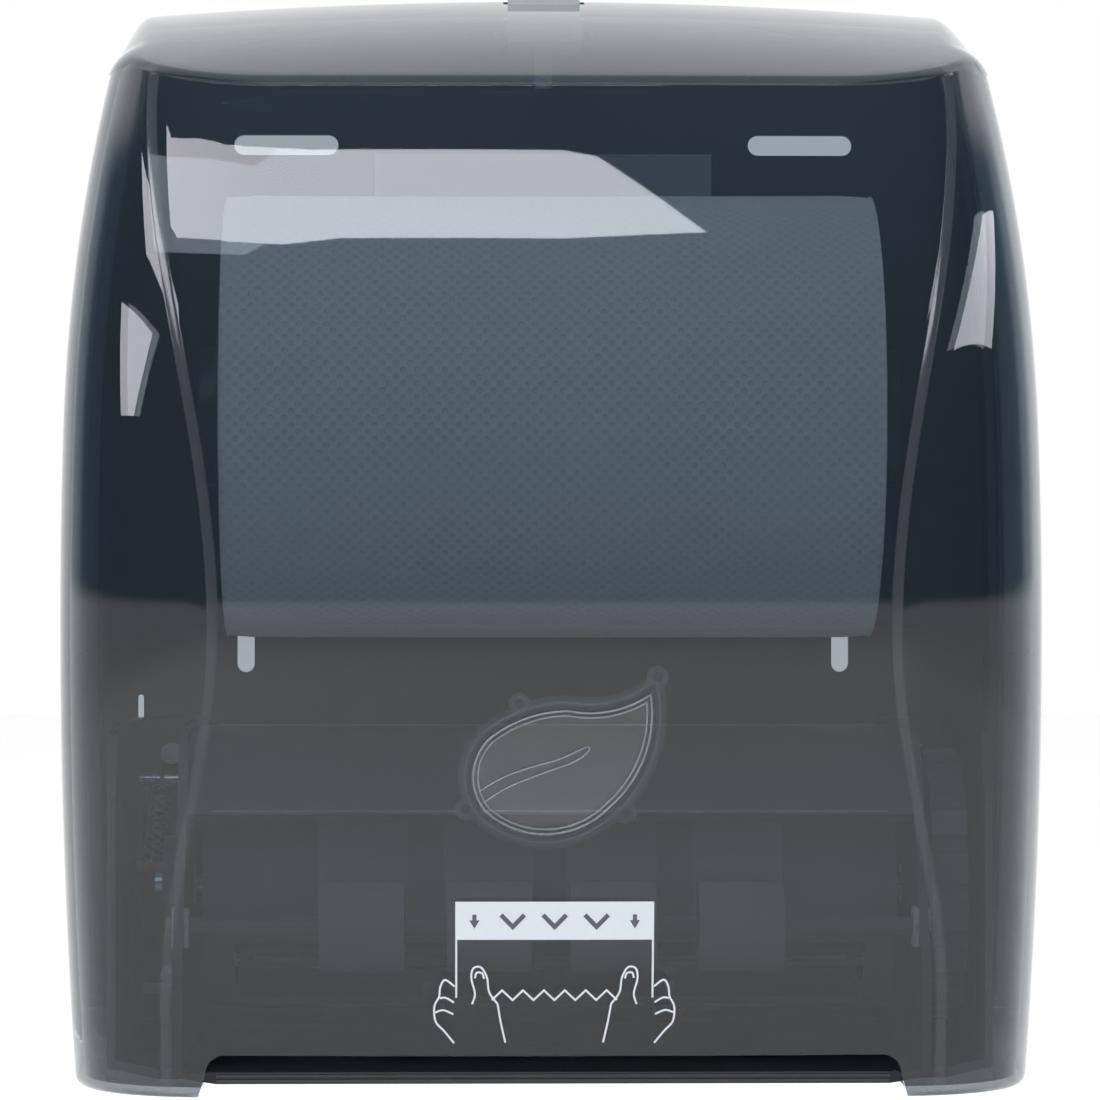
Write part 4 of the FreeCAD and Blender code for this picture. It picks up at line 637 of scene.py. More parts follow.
@dataclass(frozen=True)
class CoverForm:
    """The cover's form in millimetres: the CAD's sizes, with the panel's edge and the roof as given here."""

    half_width: float = 155.15
    widest_level: float = -30.0
    side_bow_radius: float = 2400.0
    shoulder_level: float = 30.0
    shoulder_radius: float = 800.0
    top_level: float = 175.95
    top_arch_radius: float = 1600.0
    bottom_level: float = -171.95
    rear_depth: float = 5.0
    full_depth: float = 215.95
    deepest_level: float = -25.0
    upper_radius: float = 323.0
    lower_radius: float = 428.0
    side_draft: float = 2.0
    corner_radius: float = 57.2
    foot_corner_radius: float = 42.0
    front_radius: float = 1400.0
    crease_level: float = 135.0
    crease_depth: float = 173.5
    crease_arch_radius: float = 5200.0
    roof_radius: float = 1130.0
    panel_step: float = 1.0
    panel_band: float = 2.7
    panel_waist: float = 102.1
    panel_waist_level: float = -32.0
    panel_top_half_width: float = 123.2
    panel_foot_half_width: float = 117.0
    panel_fade_level: float = -118.0
    panel_foot_level: float = -146.0
    edge_groove: float = 0.12

    def side_at(self, level: float) -> float:
        """Half the width at the wall."""
        drop = (level - self.widest_level) ** 2 / (2 * self.side_bow_radius)
        above = max(level - self.shoulder_level, 0.0)
        return self.half_width - drop - above ** 2 / (2 * self.shoulder_radius)

    def middle_depth(self, level: float) -> float:
        """Depth of the front's middle line at a level."""
        rise = level - self.deepest_level
        radius = self.upper_radius if rise > 0 else self.lower_radius
        return self.full_depth - radius + math.sqrt(radius ** 2 - rise ** 2)

    @lru_cache(maxsize=None)
    def level(self, level: float) -> Level:
        """The outline at a level: the corner's centre is found by halving."""
        draft = math.tan(math.radians(self.side_draft))
        side, depth = self.side_at(level), self.middle_depth(level)
        below = min(max((self.deepest_level - level) / (self.deepest_level - self.bottom_level), 0.0), 1.0)
        corner = self.corner_radius + (self.foot_corner_radius - self.corner_radius) * below ** 2
        low, high = 0.0, depth
        for _ in range(44):
            deep = (low + high) / 2
            x = side - draft * deep - corner * math.hypot(1, draft)
            if math.hypot(x, deep - depth + self.front_radius) < self.front_radius - corner:
                low = deep
            else:
                high = deep
        return Level(x, deep, corner, depth, self.front_radius, math.atan(draft),
                     math.atan2(deep - depth + self.front_radius, x))

    def reach(self, level: float) -> float:
        """Half the width of the sunk panel: it narrows to a waist and widens above and below."""
        if level > self.panel_waist_level:
            end, end_level = self.panel_top_half_width, self.crease_level
        else:
            end, end_level = self.panel_foot_half_width, self.panel_foot_level
        share = min((level - self.panel_waist_level) / (end_level - self.panel_waist_level), 1.0)
        return self.panel_waist + (end - self.panel_waist) * (1 - math.cos(math.pi * share)) / 2

    def sink(self, level: float) -> float:
        """How far the panel lies below the hull; it fades out above the towel exit."""
        run = self.panel_fade_level - self.panel_foot_level
        fade = 1 - 1.4 * max(self.panel_fade_level - level, 0.0) / run
        return self.panel_step * max(fade, 0.0)

    def spot(self, level: float, station: Station, inset: float, sunk: float) -> Vector:
        """A point of the outline.

        Args:
            level: Its height.
            station: Its zone and its share of that zone.
            inset: How far in from the outside it lies.
            sunk: The panel's further sink at this level.

        Returns:
            The point as x, depth and level, in millimetres.
        """
        zone, share = station
        line = self.level(level)
        reach = self.reach(level)
        if zone is Zone.FRONT:
            x, depth = line.on_front(share, inset + sunk)
        elif zone is Zone.INNER:
            end = line.turn_at(reach - self.panel_band, inset + sunk)
            x, depth = line.on_corner(line.front_turn + (end - line.front_turn) * share, inset + sunk)
        elif zone is Zone.BAND:
            slant = min(max(1 - share, 0.0), 1.0)
            groove = self.edge_groove if share in (0.0, 1.0) and sunk > 0 else 0.0
            here = inset + sunk * slant + groove
            x, depth = line.on_corner(line.turn_at(reach - self.panel_band * (1 - share), here), here)
        elif zone is Zone.OUTER:
            start = line.turn_at(reach, inset)
            x, depth = line.on_corner(start + (line.side_turn - start) * share, inset)
        else:
            x, depth = line.on_corner(line.side_turn, inset)
            deep = depth + (self.rear_depth - depth) * share
            x, depth = x + math.tan(line.side_turn) * (depth - deep), deep
        return Vector((x, depth, level))

    def roof_level(self, x: float, depth: float, inset: float) -> float:
        """Height of the arched, sloping roof."""
        fall, run = self.top_level - self.crease_level, self.crease_depth - self.rear_depth
        chord = math.hypot(run, fall)
        sag = math.sqrt(self.roof_radius ** 2 - chord ** 2 / 4)
        centre_depth = self.rear_depth + run / 2 - sag * fall / chord
        centre_level = -fall / 2 - sag * run / chord
        ridge = centre_level + math.sqrt(self.roof_radius ** 2 - (depth - centre_depth) ** 2)
        share = min(max(depth / self.crease_depth, 0.0), 1.0)
        bow = 1 / self.top_arch_radius + (1 / self.crease_arch_radius - 1 / self.top_arch_radius) * share
        return self.top_level + ridge - inset - bow * x ** 2 / 2

    def on_front(self, x: float, level: float, inset: float = 0.0) -> Point:
        """A point of the front, drawn in by an inset, in metres."""
        radius = self.front_radius - inset
        depth = self.middle_depth(level) - inset - radius + math.sqrt(radius ** 2 - x ** 2)
        return (x * MM, -depth * MM, level * MM)


# Cover wall

@dataclass(frozen=True)
class Skin:
    """One face of the cover's wall: how far in it lies and how its edges are rounded, in millimetres."""

    form: CoverForm
    inset: float
    roof_round: float
    foot_round: float
    stations: tuple[Station, ...]
    panelled: bool
    shoulder_round: float = 9.0

    def sunk(self, level: float, below: float) -> float:
        """The panel's sink at a level and a distance below the roof's edge."""
        if not self.panelled:
            return 0.0
        return self.form.sink(level) * min(max((below - 0.35) / 0.8, 0.0), 1.0)

    def wall_normal(self, level: float, station: Station) -> Vector:
        """The outward normal of the wall, from small steps along and up."""
        zone, share = station
        step = 0.002
        spot = self.form.spot
        up = spot(level + step, station, self.inset, 0) - spot(level - step, station, self.inset, 0)
        along = (spot(level, (zone, share + step), self.inset, 0)
                 - spot(level, (zone, share - step), self.inset, 0))
        normal = along.cross(up).normalized()
        return normal if normal.x + normal.y > 0 else -normal

    def roof_turn(self, station: Station) -> float:
        """Radius of the roof's edge: it is tight over the panel and at the rear, and soft at the shoulder."""
        zone, share = station
        if zone is Zone.OUTER:
            soft = share
        elif zone is Zone.SIDE:
            soft = 1 - share
        else:
            soft = 0.0
        return self.roof_round + self.shoulder_round * soft * soft * (3 - 2 * soft)

    def bend(self, corner: Vector, first: Vector, second: Vector, radius: float, steps: int) -> list[Vector]:
        """The rounded edge between two faces that meet at a corner."""
        centre = corner - (first + second) * radius / (1 + first.dot(second))
        return [centre + first.slerp(second, step / steps) * radius for step in range(steps + 1)]

    def roof_edge(self, station: Station) -> list[Vector]:
        """The rounded edge between the wall and the roof at a station."""
        level = self.form.crease_level
        for _ in range(40):
            x, depth, _ = self.form.spot(level, station, self.inset, 0)
            level = self.form.roof_level(x, depth, self.inset)
        corner = self.form.spot(level, station, self.inset, 0)
        step = 0.05
        height = self.form.roof_level
        slope_x = (height(x + step, depth, 0) - height(x - step, depth, 0)) / (2 * step)
        slope_y = (height(x, depth + step, 0) - height(x, depth - step, 0)) / (2 * step)
        roof = Vector((-slope_x, -slope_y, 1)).normalized()
        return self.bend(corner, self.wall_normal(level, station), roof, self.roof_turn(station), 8)

    def column(self, station: Station) -> list[Vector]:
        """One column of points, from the middle of the foot, up the wall, to the middle of the roof."""
        form = self.form
        foot_level = form.bottom_level + self.inset
        corner = form.spot(foot_level, station, self.inset, 0)
        normal = self.wall_normal(foot_level, station)
        foot = self.bend(corner, Vector((0, 0, -1)), normal, self.foot_round, 4)
        roof = self.roof_edge(station)
        low, high = foot[-1].z, roof[0].z
        turn_level = 92.0
        levels = [low + (turn_level - low) * step / 66 for step in range(1, 67)]
        levels += [turn_level + (high - 7.0 - turn_level) * step / 8 for step in range(1, 9)]
        levels += [high - drop for drop in (4.5, 2.8, 1.7, 1.25, 1.15, 0.75, 0.35, 0.25)]
        wall = [form.spot(level, station, self.inset, self.sunk(level, high - level)) for level in levels]
        floor = [self.towards_middle(foot[0], share, foot_level) for share in (0.0, 0.25, 0.5, 0.75, 0.92)]
        ceiling = []
        for share in (0.97, 0.9, 0.8, 0.7, 0.6, 0.5, 0.4, 0.3, 0.2, 0.1, 0.0):
            point = self.towards_middle(roof[-1], share, 0.0)
            drop = roof[-1].z - form.roof_level(roof[-1].x, roof[-1].y, self.inset)
            point.z = form.roof_level(point.x, point.y, self.inset) + drop * share
            ceiling.append(point)
        return [*floor, *foot, *wall, *roof, *ceiling]

    def towards_middle(self, edge: Vector, share: float, level: float) -> Vector:
        """A point between the middle of the rear edge, at share 0, and an edge point, at share 1."""
        rear = self.form.rear_depth
        return Vector((edge.x * share, rear + (edge.y - rear) * share, level))


@dataclass
class CoverWall:
    """The see-through cover: outer and inner skins joined at the rear, with its openings cut out."""

    form: CoverForm = field(default_factory=CoverForm)
    wall: float = 3.0
    exit_half_width: float = 106.0
    exit_top: float = -158.6
    exit_round: float = 6.0
    hinge_sweep: float = 11.0
    notch_half_width: float = 13.5
    notch_depth: float = 18.0
    notch_level: float = 163.0
    leaf_margin: float = 0.3

    def skin(self, outer: bool) -> Skin:
        """The outer skin with the sunk panel, or the plain inner one."""
        if outer:
            stations = [(Zone.FRONT, step / 18) for step in range(18)]
            stations += [(Zone.INNER, step / 6) for step in range(6)]
            stations += [(Zone.BAND, share) for share in (-0.09, 0.0, 0.09, 0.5, 0.91, 1.0, 1.09)]
            stations += [(Zone.OUTER, 0.04 + 0.96 * step / 16) for step in range(1, 17)]
            stations += [(Zone.SIDE, step / 12) for step in range(1, 13)]
            return Skin(self.form, inset=0.0, roof_round=5.0, foot_round=4.0,
                        stations=tuple(stations), panelled=True)
        stations = [(Zone.FRONT, step / 14) for step in range(14)]
        stations += [(Zone.INNER, 0.0)]
        stations += [(Zone.OUTER, step / 18) for step in range(19)]
        stations += [(Zone.SIDE, step / 8) for step in range(1, 9)]
        return Skin(self.form, inset=self.wall, roof_round=2.0, foot_round=1.0,
                    stations=tuple(stations), panelled=False)

    def build(self) -> None:
        """Make the wall, cut its openings and let it stand for the CAD shell."""
        draft = Draft()
        rims = []
        for outer in (True, False):
            skin = self.skin(outer)
            half = [skin.column(station) for station in skin.stations]
            for side in (1, -1):
                columns = [[(side * p.x * MM, -p.y * MM, p.z * MM) for p in column] for column in half]
                band = len([1 for zone, _ in skin.stations if zone in (Zone.FRONT, Zone.INNER)])
                draft.rows(columns, satin=range(band, band + 6) if outer else ())
                rims.append(columns[-1])
        draft.rows([rims[0], rims[2]])
        draft.rows([rims[1], rims[3]])
        cover = draft.piece("cover_wall", Dress.COVER, "cover", "smoked_cover")
        cover.data.materials.append(Dress.SATIN.value.material())
        weld(cover)
        carve(cover, self.cutters())
        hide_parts("cover_shell")

    def cutters(self) -> list[bpy.types.Object]:
        """Blocks that cut the towel exit, the hinge corners, the latch notch and the window's hole."""
        wide, under, over, behind, exit_foot = 200.0, -190.0, 200.0, -5.0, -177.0
        ends = [(side * (self.exit_half_width - 2), self.exit_top) for side in (1, -1)]
        exit_line = [(-self.exit_half_width - 2, exit_foot), (self.exit_half_width + 2, exit_foot)]
        for (x, level), side in zip(ends, (1, -1)):
            turns = [math.radians(9 * step) for step in range(11)]
            bend = [(x - side * self.exit_round * (1 - math.cos(turn)),
                     level - self.exit_round * (1 - math.sin(turn))) for turn in turns]
            exit_line += bend if side > 0 else bend[::-1]
        sweep = [(HINGE_DEPTH + self.hinge_sweep * math.cos(math.radians(turn)),
                  HINGE_LEVEL + self.hinge_sweep * math.sin(math.radians(turn)))
                 for turn in range(180, 271, 6)]
        corner = [(behind, HINGE_LEVEL), *sweep, (HINGE_DEPTH, under), (behind, under)]
        notch = [(-self.notch_half_width, self.notch_level), (self.notch_half_width, self.notch_level),
                 (self.notch_half_width, over), (-self.notch_half_width, over)]
        leaf = LeafWindow().outline(self.leaf_margin)
        return [
            prism("exit_cutter", [(x, -260.0, z) for x, z in exit_line], (0.0, 280.0, 0.0)),
            prism("corner_cutter", [(-wide, -depth, z) for depth, z in corner], (2 * wide, 0.0, 0.0)),
            prism("notch_cutter", [(x, -self.notch_depth, z) for x, z in notch], (0.0, 30.0, 0.0)),
            prism("leaf_cutter", [(x, -240.0, z) for x, z in leaf], (0.0, 90.0, 0.0)),
        ]


@dataclass
class HingeBosses:
    """The two round bosses inside the cover that take the hinge pins."""

    radius: float = 7.0
    bore: float = 3.05
    near: float = 138.0
    bore_end: float = 147.9
    far: float = 148.3

    def build(self) -> None:
        """Turn both bosses about the hinge line."""
        draft = Draft()
        lead, chamfer = 0.4, 0.6
        profile = [(self.bore_end, 0.0), (self.bore_end, self.bore), (self.near + lead, self.bore),
                   (self.near, self.bore + lead), (self.near, self.radius - chamfer),
                   (self.near + chamfer, self.radius), (self.far, self.radius), (self.far, 0.0)]
        for side in (1, -1):
            draft.rows([[(side * x * MM, (radius * math.cos(turn) - HINGE_DEPTH) * MM,
                          (HINGE_LEVEL + radius * math.sin(turn)) * MM)
                         for turn in turns(40)]
                        for x, radius in profile], closed=True)
        bosses = draft.piece("hinge_bosses", Dress.COVER, "cover", "smoked_cover")
        weld(bosses)
        bosses.data.set_sharp_from_angle(angle=math.radians(40))


@dataclass(frozen=True)
class HoodEdgeHighlights:
    """Two pale beads along edges of the mechanism's hood that show through the clear window: painted
    highlights on those edges.
    """

    depth: float = 95.0
    level: float = -114.0
    half_width: float = 104.0
    edges: tuple[tuple[float, float], ...] = ((50.8, 84.0), (54.2, 28.0))
    radius: float = 0.45

    def build(self) -> None:
        """Lay a pale bead along each edge, as a painted highlight."""
        draft = Draft()
        for reach, angle in self.edges:
            turn = math.radians(angle)
            depth, level = self.depth + reach * math.cos(turn), self.level + reach * math.sin(turn)
            draft.rows([[(x * MM, (self.radius * math.cos(round_) - depth) * MM,
                          (level + self.radius * math.sin(round_)) * MM)
                         for round_ in turns(8)]
                        for x in (-self.half_width, 0.0, self.half_width)], closed=True)
        draft.piece("hood_edge_highlights", Dress.PAINTED_HIGHLIGHT_EDGE, "chassis", "mechanism_plastic")


# Level window

@dataclass(frozen=True)
class LeafWindow:
    """The clear leaf-shaped window: polished beads along its rim and two ribs across its pane; the beads'
    pale haze is a painted highlight.
    """

    form: CoverForm = field(default_factory=CoverForm)
    tip: tuple[float, float] = (28.1, -50.1)
    arcs: tuple[tuple[tuple[float, float], tuple[float, float]], ...] = (
        ((28.1, -50.1), (26.6, -68.4)),
        ((16.4, -83.6), (-3.2, -91.9)),
        ((-20.4, -85.2), (-24.3, -74.4)),
        ((-19.8, -63.6), (-9.2, -57.5)),
        ((4.2, -55.1), (17.6, -54.9)),
    )
    rib: tuple[tuple[float, float], ...] = (
        (-22.6, -83.4), (-14.0, -77.9), (-3.4, -73.6), (5.4, -70.4), (9.6, -67.4), (9.9, -66.0), (8.4, -66.2),
        (1.6, -69.4), (-9.4, -72.6), (-16.6, -75.6), (-23.2, -79.6))
    ears: tuple[tuple[float, float], ...] = ((30.1, -45.3), (-10.4, -53.2), (-26.2, -84.3), (20.9, -85.5))
    arc_steps: int = 14

    @staticmethod
    def arc(start: Vector, middle: Vector, end: Vector, steps: int) -> list[Vector]:
        """Points of the arc through three points, without its end."""
        a, b = middle - start, end - start
        cross = 2 * (a.x * b.y - a.y * b.x)
        out = Vector(((b.y * a.length_squared - a.y * b.length_squared) / cross,
                      (a.x * b.length_squared - b.x * a.length_squared) / cross))
        centre = start + out
        spoke = start - centre
        sweep = spoke.angle_signed(middle - centre) + (middle - centre).angle_signed(end - centre)
        turned = []
        for step in range(steps):
            turn = -sweep * step / steps
            turned.append(centre + Vector((spoke.x * math.cos(turn) - spoke.y * math.sin(turn),
                                           spoke.x * math.sin(turn) + spoke.y * math.cos(turn))))
        return turned

    def outline(self, margin: float) -> list[tuple[float, float]]:
        """The leaf's outline, widened by a margin, as x and level."""
        ends = [Vector(start) for start, _ in self.arcs] + [Vector(self.tip)]
        line: list[Vector] = []
        for number, (_, through) in enumerate(self.arcs):
            line += self.arc(ends[number], Vector(through), ends[number + 1], self.arc_steps)
        area = sum(a.x * b.y - a.y * b.x for a, b in zip(line, line[1:] + line[:1]))
        out = 1.0 if area > 0 else -1.0
        wide = []
        for before, here, after in zip(line[-1:] + line[:-1], line, line[1:] + line[:1]):
            one, two = (here - before).normalized(), (after - here).normalized()
            side = Vector((one.y + two.y, -one.x - two.x)).normalized() * out
            stretch = max(side.dot(Vector((one.y, -one.x)) * out), 0.55)
            wide.append(tuple(here + side * margin / stretch))
        return wide

    def bead(self, draft: "Draft", path: Sequence[tuple[float, float]], inset: float, radius: float,
             closed: bool) -> None:
        """A half-round bead along a path on the cover.

        Args:
            draft: What it is drawn in.
            path: Its x and level, in millimetres.
            inset: How far below the hull its middle lies.
            radius: Its radius.
            closed: Whether the path closes.
        """
        count = len(path)
        rows = []
        for number, (x, level) in enumerate(path):
            before = path[number - 1] if closed or number else path[0]
            after = path[(number + 1) % count] if closed or number + 1 < count else path[-1]
            run = Vector((after[0] - before[0], after[1] - before[1])).normalized()
            slim = radius if closed else radius * min(1.0, 0.25 + min(number, count - 1 - number) / 3)
            row = []
            for turn in turns(8):
                off = slim * math.cos(turn)
                row.append(self.form.on_front(x - run.y * off, level + run.x * off,
                                              inset - slim * math.sin(turn)))
            rows.append(row)
        if closed:
            rows.append(rows[0])
        draft.rows(rows, closed=True)

    def rings(self, x: float, level: float, radii: Sequence[float], inset: float,
              count: int) -> list[list[Point]]:
        """Rings about a point of the front, drawn in by an inset, one row for each radius."""
        return [[self.form.on_front(x + radius * math.cos(turn), level + radius * math.sin(turn), inset)
                 for turn in turns(count)] for radius in radii]

    def flange(self) -> None:
        """The clouded flange and its four ears, seen through the cover just behind the wall, with a pale bead
        on the flange that is a painted highlight line.
        """
        draft = Draft()
        behind = 3.02
        lines = [[self.form.on_front(x, level, behind) for x, level in self.outline(margin)]
                 for margin in (1.5, 3.4)]
        draft.rows(lines, closed=True)
        for x, level in self.ears:
            draft.rows(self.rings(x, level, (1.5, 3.3), behind, 24), closed=True)
        draft.piece("window_flange_haze", Dress.FLANGE, "cover", "clear_lens")
        line = Draft()
        # A pale bead on the flange: a painted highlight line.
        self.bead(line, self.outline(2.3), behind, 0.3, True)
        line.piece("window_flange_highlight_line", Dress.HIGHLIGHT_BEAD, "cover", "clear_lens")
        studs = Draft()
        for x, level in self.ears:
            studs.rows(self.rings(x, level, (0.02, 1.4), behind - 0.01, 20), closed=True)
        studs.piece("window_stud_ends", Dress.MECHANISM, "cover", "smoked_cover")

    def build(self) -> None:
        """Lay the beads and the rib over the CAD window."""
        draft = Draft()
        # The pale haze of these beads is a painted highlight along the rims and the rib.
        self.bead(draft, self.outline(-0.2), 0.5, 0.32, True)
        self.bead(draft, self.outline(-1.6), 0.9, 0.30, True)
        self.bead(draft, CoverPrint.curve(self.rib), 0.95, 0.24, False)
        beads = draft.piece("window_beads", Dress.HIGHLIGHT_BEAD, "cover", "clear_lens")
        weld(beads)
        self.flange()


# Studio

@dataclass(frozen=True)
class Card:
    """A bright card in the room, given by the directions of its upper and lower edges in degrees."""

    name: str
    upper: tuple[tuple[float, float], ...]
    lower: tuple[tuple[float, float], ...]
    strength: float
    distance: float = 3.0

    def build(self) -> None:
        """Hang the card where gloss shows it; it gives no other light."""
        draft = Draft()
        middle = Vector(LIT_MIDDLE)
        draft.rows([[tuple(middle + heading(*way) * self.distance) for way in edge]
                    for edge in (self.upper, self.lower)])
        mesh = mesh_of(self.name, draft.points, draft.faces)
        material, graph = fresh_material(self.name)
        x, _, _ = graph.parts(graph.place())
        fade = x.eased(0.9, -2.4) * 0.12 + 0.94
        graph.finish(graph.node("ShaderNodeEmission", None, {
            "Color": (0.93, 0.94, 1.0), "Strength": fade * self.strength}))
        mesh.materials.append(material)
        card = hang(self.name, mesh)
        card.visible_camera = card.visible_diffuse = card.visible_shadow = False
        card.visible_transmission = False


@dataclass(frozen=True)
class Softbox:
    """A large soft lamp that lights the object; its glint comes from a card instead."""

    name: str
    azimuth: float
    elevation: float
    width: float
    height: float
    strength: float
    distance: float = 3.0


def heading(azimuth: float, elevation: float) -> Vector:
    """The direction at an azimuth, from straight ahead of the object, and an elevation, in degrees."""
    turn, rise = math.radians(azimuth), math.radians(elevation)
    return Vector((math.sin(turn) * math.cos(rise), -math.cos(turn) * math.cos(rise), math.sin(rise)))


@dataclass
class Studio:
    """Floor, lamps, surroundings and camera."""

    floor_level: float = -0.26
    floor_lift: float = 0.40
    sky_light: float = 0.60
    focal_pixels: float = 4964.0
    camera_place: Point = (-0.028, -1.671, -0.008)
    camera_yaw: float = 1.04
    navy: Colour = (0.16, 0.24, 0.38)
    softboxes: tuple[Softbox, ...] = (
        Softbox("key_softbox", -36.0, 50.0, 2.9, 0.62, 8.0),
        Softbox("left_window", -82.0, 19.0, 0.55, 0.62, 5.0),
        Softbox("right_window", 95.0, 21.0, 0.75, 0.5, 5.0),
    )
    cards: tuple[Card, ...] = (
        Card("key_card",
             ((-97, 39.0), (-88, 42.3), (-81, 44.9), (-74, 47.4), (-61, 50.9),
              (-45, 53.4), (-28, 55.0), (-13.6, 55.2), (2.6, 55.6), (4.6, 54.7)),
             ((-76, 33.6), (-67, 36.6), (-60, 38.3), (-52, 39.8), (-41, 41.4),
              (-26, 42.5), (-12.6, 42.6), (-9.7, 43.6), (2.0, 43.8), (9.6, 44.4)), 10.0),
        Card("left_card", ((-94.9, 21.6), (-67.1, 25.1)), ((-86.0, 12.8), (-76.2, 14.4)), 8.5),
        Card("right_card", ((110.2, 24.2), (67.4, 23.0)), ((121.6, 19.9), (98.2, 16.3)), 8.0),
    )

    def build(self) -> None:
        """Make everything that stands round the object."""
        self.floor()
        self.world()
        for box in self.softboxes:
            self.lamp(box)
        for card in self.cards:
            card.build()
        self.camera()

    def floor(self) -> None:
        """A plain pale floor below the unit."""
        half = 6.0
        spread = ((-half, -half), (half, -half), (half, half), (-half, half))
        mesh = mesh_of("floor", [(x, y, self.floor_level) for x, y in spread], [(0, 1, 2, 3)])
        material, graph = fresh_material("pale_floor")
        tone = graph.noise(3.0, 3.0)
        colour = graph.blend(tone, (0.92, 0.92, 0.92), (0.95, 0.95, 0.95))
        matt = graph.node("ShaderNodeBsdfDiffuse", None, {"Color": colour})
        glow = graph.node("ShaderNodeEmission", None, {"Strength": graph.seen() * self.floor_lift})
        graph.finish(graph.node("ShaderNodeAddShader", None, {0: matt, 1: glow}))
        mesh.materials.append(material)
        hang("floor", mesh)

    def world(self) -> None:
        """White behind and below for sight and gloss, a deep blue room in front for gloss only."""
        world = bpy.data.worlds.new("studio")
        world.use_nodes = True
        bpy.context.scene.world = world
        graph = Graph(world.node_tree)
        way = graph.node("ShaderNodeTexCoord", give="Generated")
        x, y, z = graph.parts(way)
        ahead = (y * -1.0 - z.eased(0.26, 0.50) * 0.32).eased(-0.80, -0.67)
        overhead = z.eased(0.12, 0.62) * (1.0 - (x * x).eased(0.12, 0.42))
        behind = graph.blend(overhead, (0.97, 0.98, 1.0), (0.42, 0.44, 0.46))
        front = graph.blend(z.eased(0.45, 0.92), self.navy, tinted(self.navy, 1.7))
        above = z.eased(-0.01, 0.01)
        room = graph.blend(ahead * above, behind, front)
        rays = graph.node("ShaderNodeLightPath", give="Is Glossy Ray")
        colour = graph.blend(rays, (1.0, 1.0, 1.0), room)
        strength = graph.seen() * (1.0 - self.sky_light) + self.sky_light
        graph.finish(graph.node("ShaderNodeBackground", None, {"Color": colour, "Strength": strength}),
                     "ShaderNodeOutputWorld")

    @staticmethod
    def lamp(box: Softbox) -> None:
        """Place a softbox; strength is its brightness as seen."""
        away = heading(box.azimuth, box.elevation)
        data = bpy.data.lights.new(box.name, "AREA")
        data.shape = "RECTANGLE"
        data.size, data.size_y = box.width, box.height
        data.energy = box.strength * math.pi * box.width * box.height
        lamp = hang(box.name, data)
        lamp.location = Vector(LIT_MIDDLE) + away * box.distance
        lamp.rotation_mode = "QUATERNION"
        lamp.rotation_quaternion = away.to_track_quat("Z", "Y")
        lamp.visible_camera = lamp.visible_glossy = False

    def camera(self) -> None:
        """The camera at the photograph's view."""
        data = bpy.data.cameras.new("camera")
        data.sensor_fit = "HORIZONTAL"
        data.sensor_width = 36.0
        data.lens = data.sensor_width * self.focal_pixels / IMAGE_SIDE
        data.clip_start, data.clip_end = 0.05, 60.0
        camera = hang("camera", data)
        camera.location = self.camera_place
        camera.rotation_euler = (math.radians(90.0), 0.0, -math.radians(self.camera_yaw))
        bpy.context.scene.camera = camera


# Towel roll

@dataclass
class TowelRoll:
    """The embossed towel, slightly out of round, with stepped wound ends."""

    radius: float = 0.0698
    rim: float = 0.0004
    bore: float = 0.0206
    half_width: float = 0.1009
    segments: int = 160
    seed: int = 7

    def around(self, x: float, radius: float, turn: float) -> Point:
        """A point at a radius and a turn about the roll's axis."""
        return (x, -ROLL_DEPTH + radius * math.cos(turn), ROLL_LEVEL + radius * math.sin(turn))

    def build(self) -> None:
        """Make the towel's outside and its two ends."""
        skin = Draft()
        stations = [-1.0 + 2.0 * step / 24 for step in range(25)]
        rows, charts = [], []
        for share in stations:
            row, chart = [], []
            for step in range(self.segments + 1):
                turn = math.tau * step / self.segments
                swell = 0.00025 * math.sin(3 * turn + 1.3) + 0.00012 * math.sin(7 * turn + share * 2.0)
                edge = 0.0006 * max(0.0, abs(share) - 0.985) / 0.015
                row.append(self.around(share * self.half_width, self.radius + swell - edge - self.rim, turn))
                chart.append((share * self.half_width, turn * self.radius))
            rows.append(row)
            charts.append(chart)
        skin.rows(rows, charts=charts)
        towel = skin.piece("towel_outside", Dress.PAPER, "towel_roll", "paper")
        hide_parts("paper_roll")
        for side, name in ((-1, "towel_end_left"), (1, "towel_end_right")):
            self.end(side, name)

    def end(self, side: int, name: str) -> None:
        """One end of the roll: rings that stand a little proud or sunk."""
        chance = random.Random(self.seed + side)
        draft = Draft()
        rows = []
        steps = 26
        for ring in range(steps + 1):
            radius = self.bore + (self.radius - self.rim - self.bore) * ring / steps
            lift = 0.0 if ring in (0, steps) else chance.uniform(-0.0005, 0.0)
            x = side * (self.half_width + lift)
            rows.append([self.around(x, radius, -side * math.tau * step / self.segments)
                         for step in range(self.segments + 1)])
        draft.rows(rows)
        draft.piece(name, Dress.EDGE, "towel_roll", "paper")


# Print on the cover

